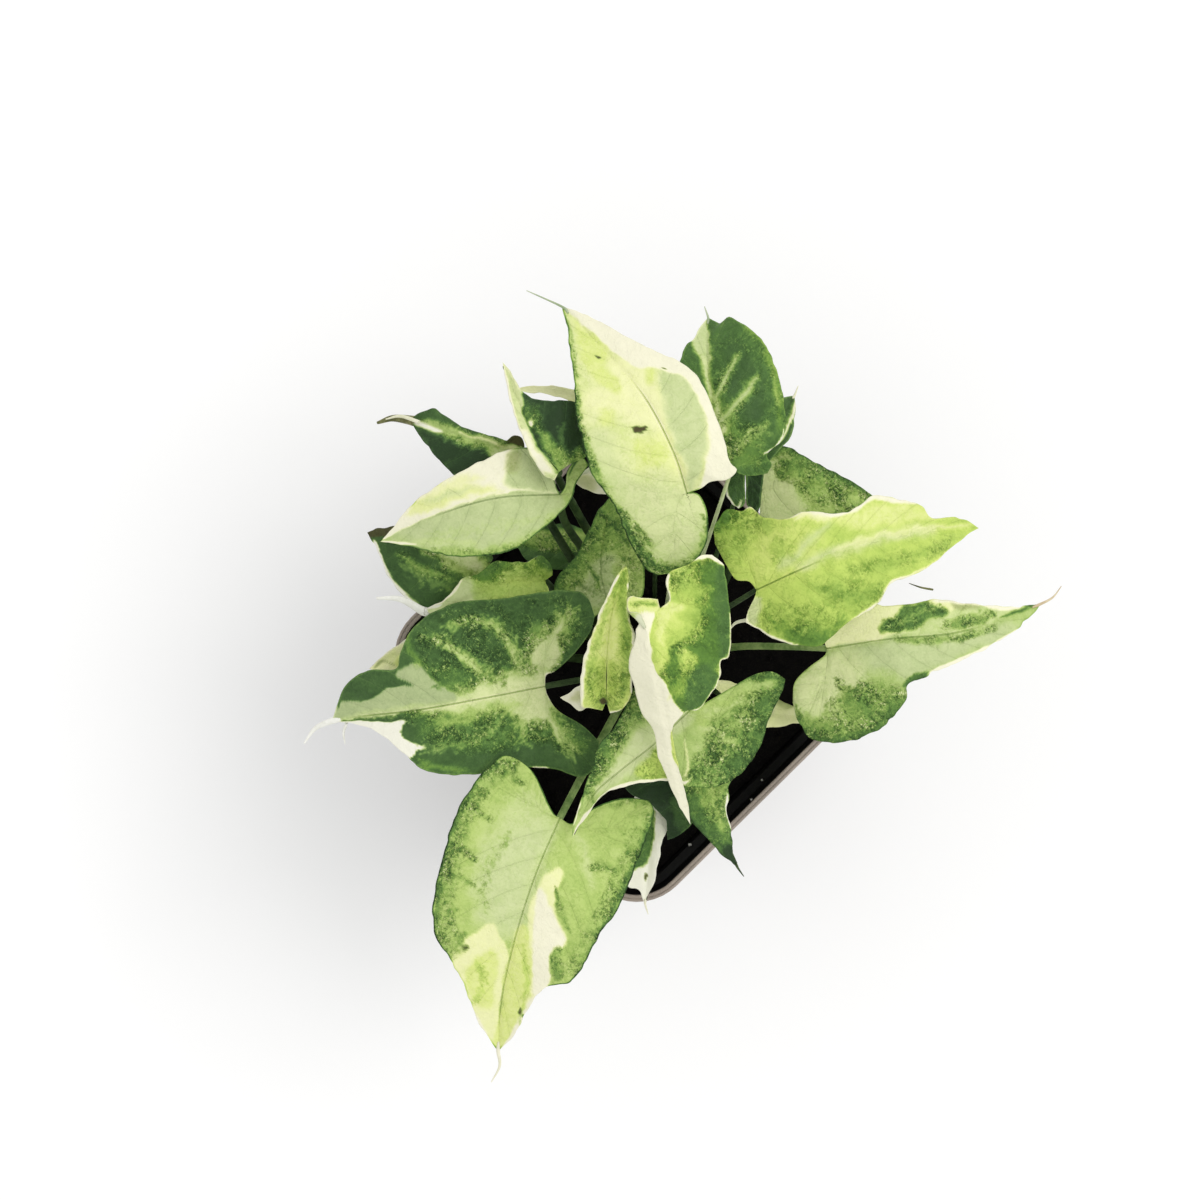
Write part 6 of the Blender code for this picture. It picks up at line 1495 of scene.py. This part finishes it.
def fitSoil(top, shape):  # keeps the marks of the top within the pot's round corners
    marks = readMarks(top) / mm
    core = soil["half"] - soil["corner"]
    past = np.maximum(np.abs(marks[:, :2]) - core, 0)
    reach = np.linalg.norm(past, axis=1)
    pull = np.where(reach > soil["corner"], soil["corner"] / np.maximum(reach, 1e-9), 1.0)
    inner = np.minimum(np.abs(marks[:, :2]), core)
    marks[:, :2] = np.sign(marks[:, :2]) * (inner + past * pull[:, None])
    if shape:
        marks[:, 2] = soilHeight(marks[:, 0], marks[:, 1])
    top.data.vertices.foreach_set("co", (marks * mm).ravel())


def makeSoil():
    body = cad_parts["soil"].data.materials
    body.clear()
    body.append(makeSoilFinish("peatBody", soil["body"]))
    selectOnly()
    bpy.ops.mesh.primitive_grid_add(x_subdivisions=soil["cells"], y_subdivisions=soil["cells"],
                                    size=2 * soil["half"] * mm, location=(0, 0, soil["top"] * mm),
                                    calc_uvs=False)
    top = bpy.context.object
    settlePlace(top)
    fitSoil(top, True)
    applyModifier(top, "SOLIDIFY", thickness=soil["thick"] * mm, offset=-1)
    fitSoil(top, False)
    bpy.ops.object.shade_smooth()
    nameAndDress(top, "soilTop", makeSoilFinish("peatTop", soil["loose"]))
    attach(top, "root")


def scatterLumps(name, spots, finish, roundness):
    draw = np.random.default_rng(soil["lumpSeed"] + len(spots))
    selectOnly()
    bpy.ops.mesh.primitive_ico_sphere_add(subdivisions=roundness, radius=1.0, calc_uvs=False)
    ball = bpy.context.object
    shape = readMarks(ball)
    pieces = []
    for x, y, rise, size in spots:
        lump = ball.copy()
        lump.data = ball.data.copy()
        bpy.context.collection.objects.link(lump)
        swell = 1 + draw.uniform(-soil["lumpSwell"], soil["lumpSwell"], (len(shape), 1))
        stretch = draw.uniform(*soil["lumpStretch"], 3)
        height = max(rise, soilHeight(np.array([x]), np.array([y]))[0]) + soil["lumpRise"] * size
        points = shape * swell * stretch * size + np.array([x, y, height])
        lump.data.vertices.foreach_set("co", (points * mm).ravel())
        pieces.append(lump)
    bpy.data.objects.remove(ball, do_unlink=True)
    lumps = joinPieces(pieces)
    nameAndDress(lumps, name, finish)
    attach(lumps, "root")


def makeCrumbs():
    draw = np.random.default_rng(soil["crumbSeed"])
    reach = soil["half"] - soil["crumbMargin"]
    spots = [(*draw.uniform(-reach, reach, 2), 0, draw.uniform(*soil["crumbSize"]))
             for _ in range(soil["crumbs"])]
    spots = [spot for spot in spots if abs(spot[0]) + abs(spot[1]) < soil["crumbCorner"] * reach]
    scatterLumps("soilCrumbs", spots, makeSoilFinish("peatCrumb", soil["body"]), 1)


def makeGrit():
    spots = []
    for x, y, height, size in soil["grit"]:
        spot = place(np.float64(x), np.float64(y), height) / mm
        spots.append((spot[0], spot[1], spot[2] if height > soil["wallFrom"] else 0, size))
    scatterLumps("soilGrit", spots, makeGritFinish(), 2)


makeSoil()
makeCrumbs()
makeGrit()
print("soil: loose top, crumbs and grit")

# Floor, light and camera: lengths in metres, lens and sensor in millimetres, angles in degrees.
studio = dict(
    floor=(0.79, 0.79, 0.79), floorSize=8.0, floorHeight=-0.0002, floorRough=0.9, glow=0.12,
    sky=0.90, sun=1.12, sunTilt=30.0, sunWay=20.0, sunSize=34.0, sunColour=(1.0, 0.99, 0.97),
    lens=88.94, sensor=36.0, nearest=0.05, white=(1.0, 1.0, 1.0, 1.0))


def makeFloor():
    selectOnly()
    bpy.ops.mesh.primitive_plane_add(size=studio["floorSize"], location=(0, 0, studio["floorHeight"]))
    floor = bpy.context.object
    floor.name = "studioFloor"
    material, sheet = newFinish("studioFloor")
    inputs = sheet.tree.nodes["Principled BSDF"].inputs
    inputs["Base Color"].default_value = (*studio["floor"], 1.0)
    inputs["Emission Color"].default_value = studio["white"]
    inputs["Emission Strength"].default_value = studio["glow"]
    inputs["Roughness"].default_value = studio["floorRough"]
    inputs["Specular IOR Level"].default_value = 0.0
    floor.data.materials.append(material)


def makeLight():
    world = bpy.data.worlds.new("studioSky")
    world.use_nodes = True
    world.node_tree.nodes["Background"].inputs["Color"].default_value = studio["white"]
    world.node_tree.nodes["Background"].inputs["Strength"].default_value = studio["sky"]
    bpy.context.scene.world = world
    lamp = bpy.data.lights.new("softSun", "SUN")
    lamp.energy = studio["sun"]
    lamp.angle = math.radians(studio["sunSize"])
    lamp.color = studio["sunColour"]
    sun = bpy.data.objects.new("softSun", lamp)
    way = chart["turn"] + math.radians(studio["sunWay"])
    sun.rotation_euler = (0, math.radians(studio["sunTilt"]), way)
    bpy.context.collection.objects.link(sun)


def makeCamera():  # where the photo was taken from
    lens = bpy.data.cameras.new("overhead")
    lens.lens = studio["lens"]
    lens.sensor_width = studio["sensor"]
    lens.clip_start = studio["nearest"]
    camera = bpy.data.objects.new("overhead", lens)
    eye = place(np.float64(chart["eyeX"]), np.float64(chart["eyeY"]), 0.0)
    camera.location = (eye[0], eye[1], (chart["rim"] + chart["eyeUp"]) * mm)
    camera.rotation_euler = (0, 0, chart["turn"])
    bpy.context.collection.objects.link(camera)
    bpy.context.scene.camera = camera
    bpy.context.scene.view_settings.view_transform = "Standard"


makeFloor()
makeLight()
makeCamera()
print("studio: floor, light and camera")
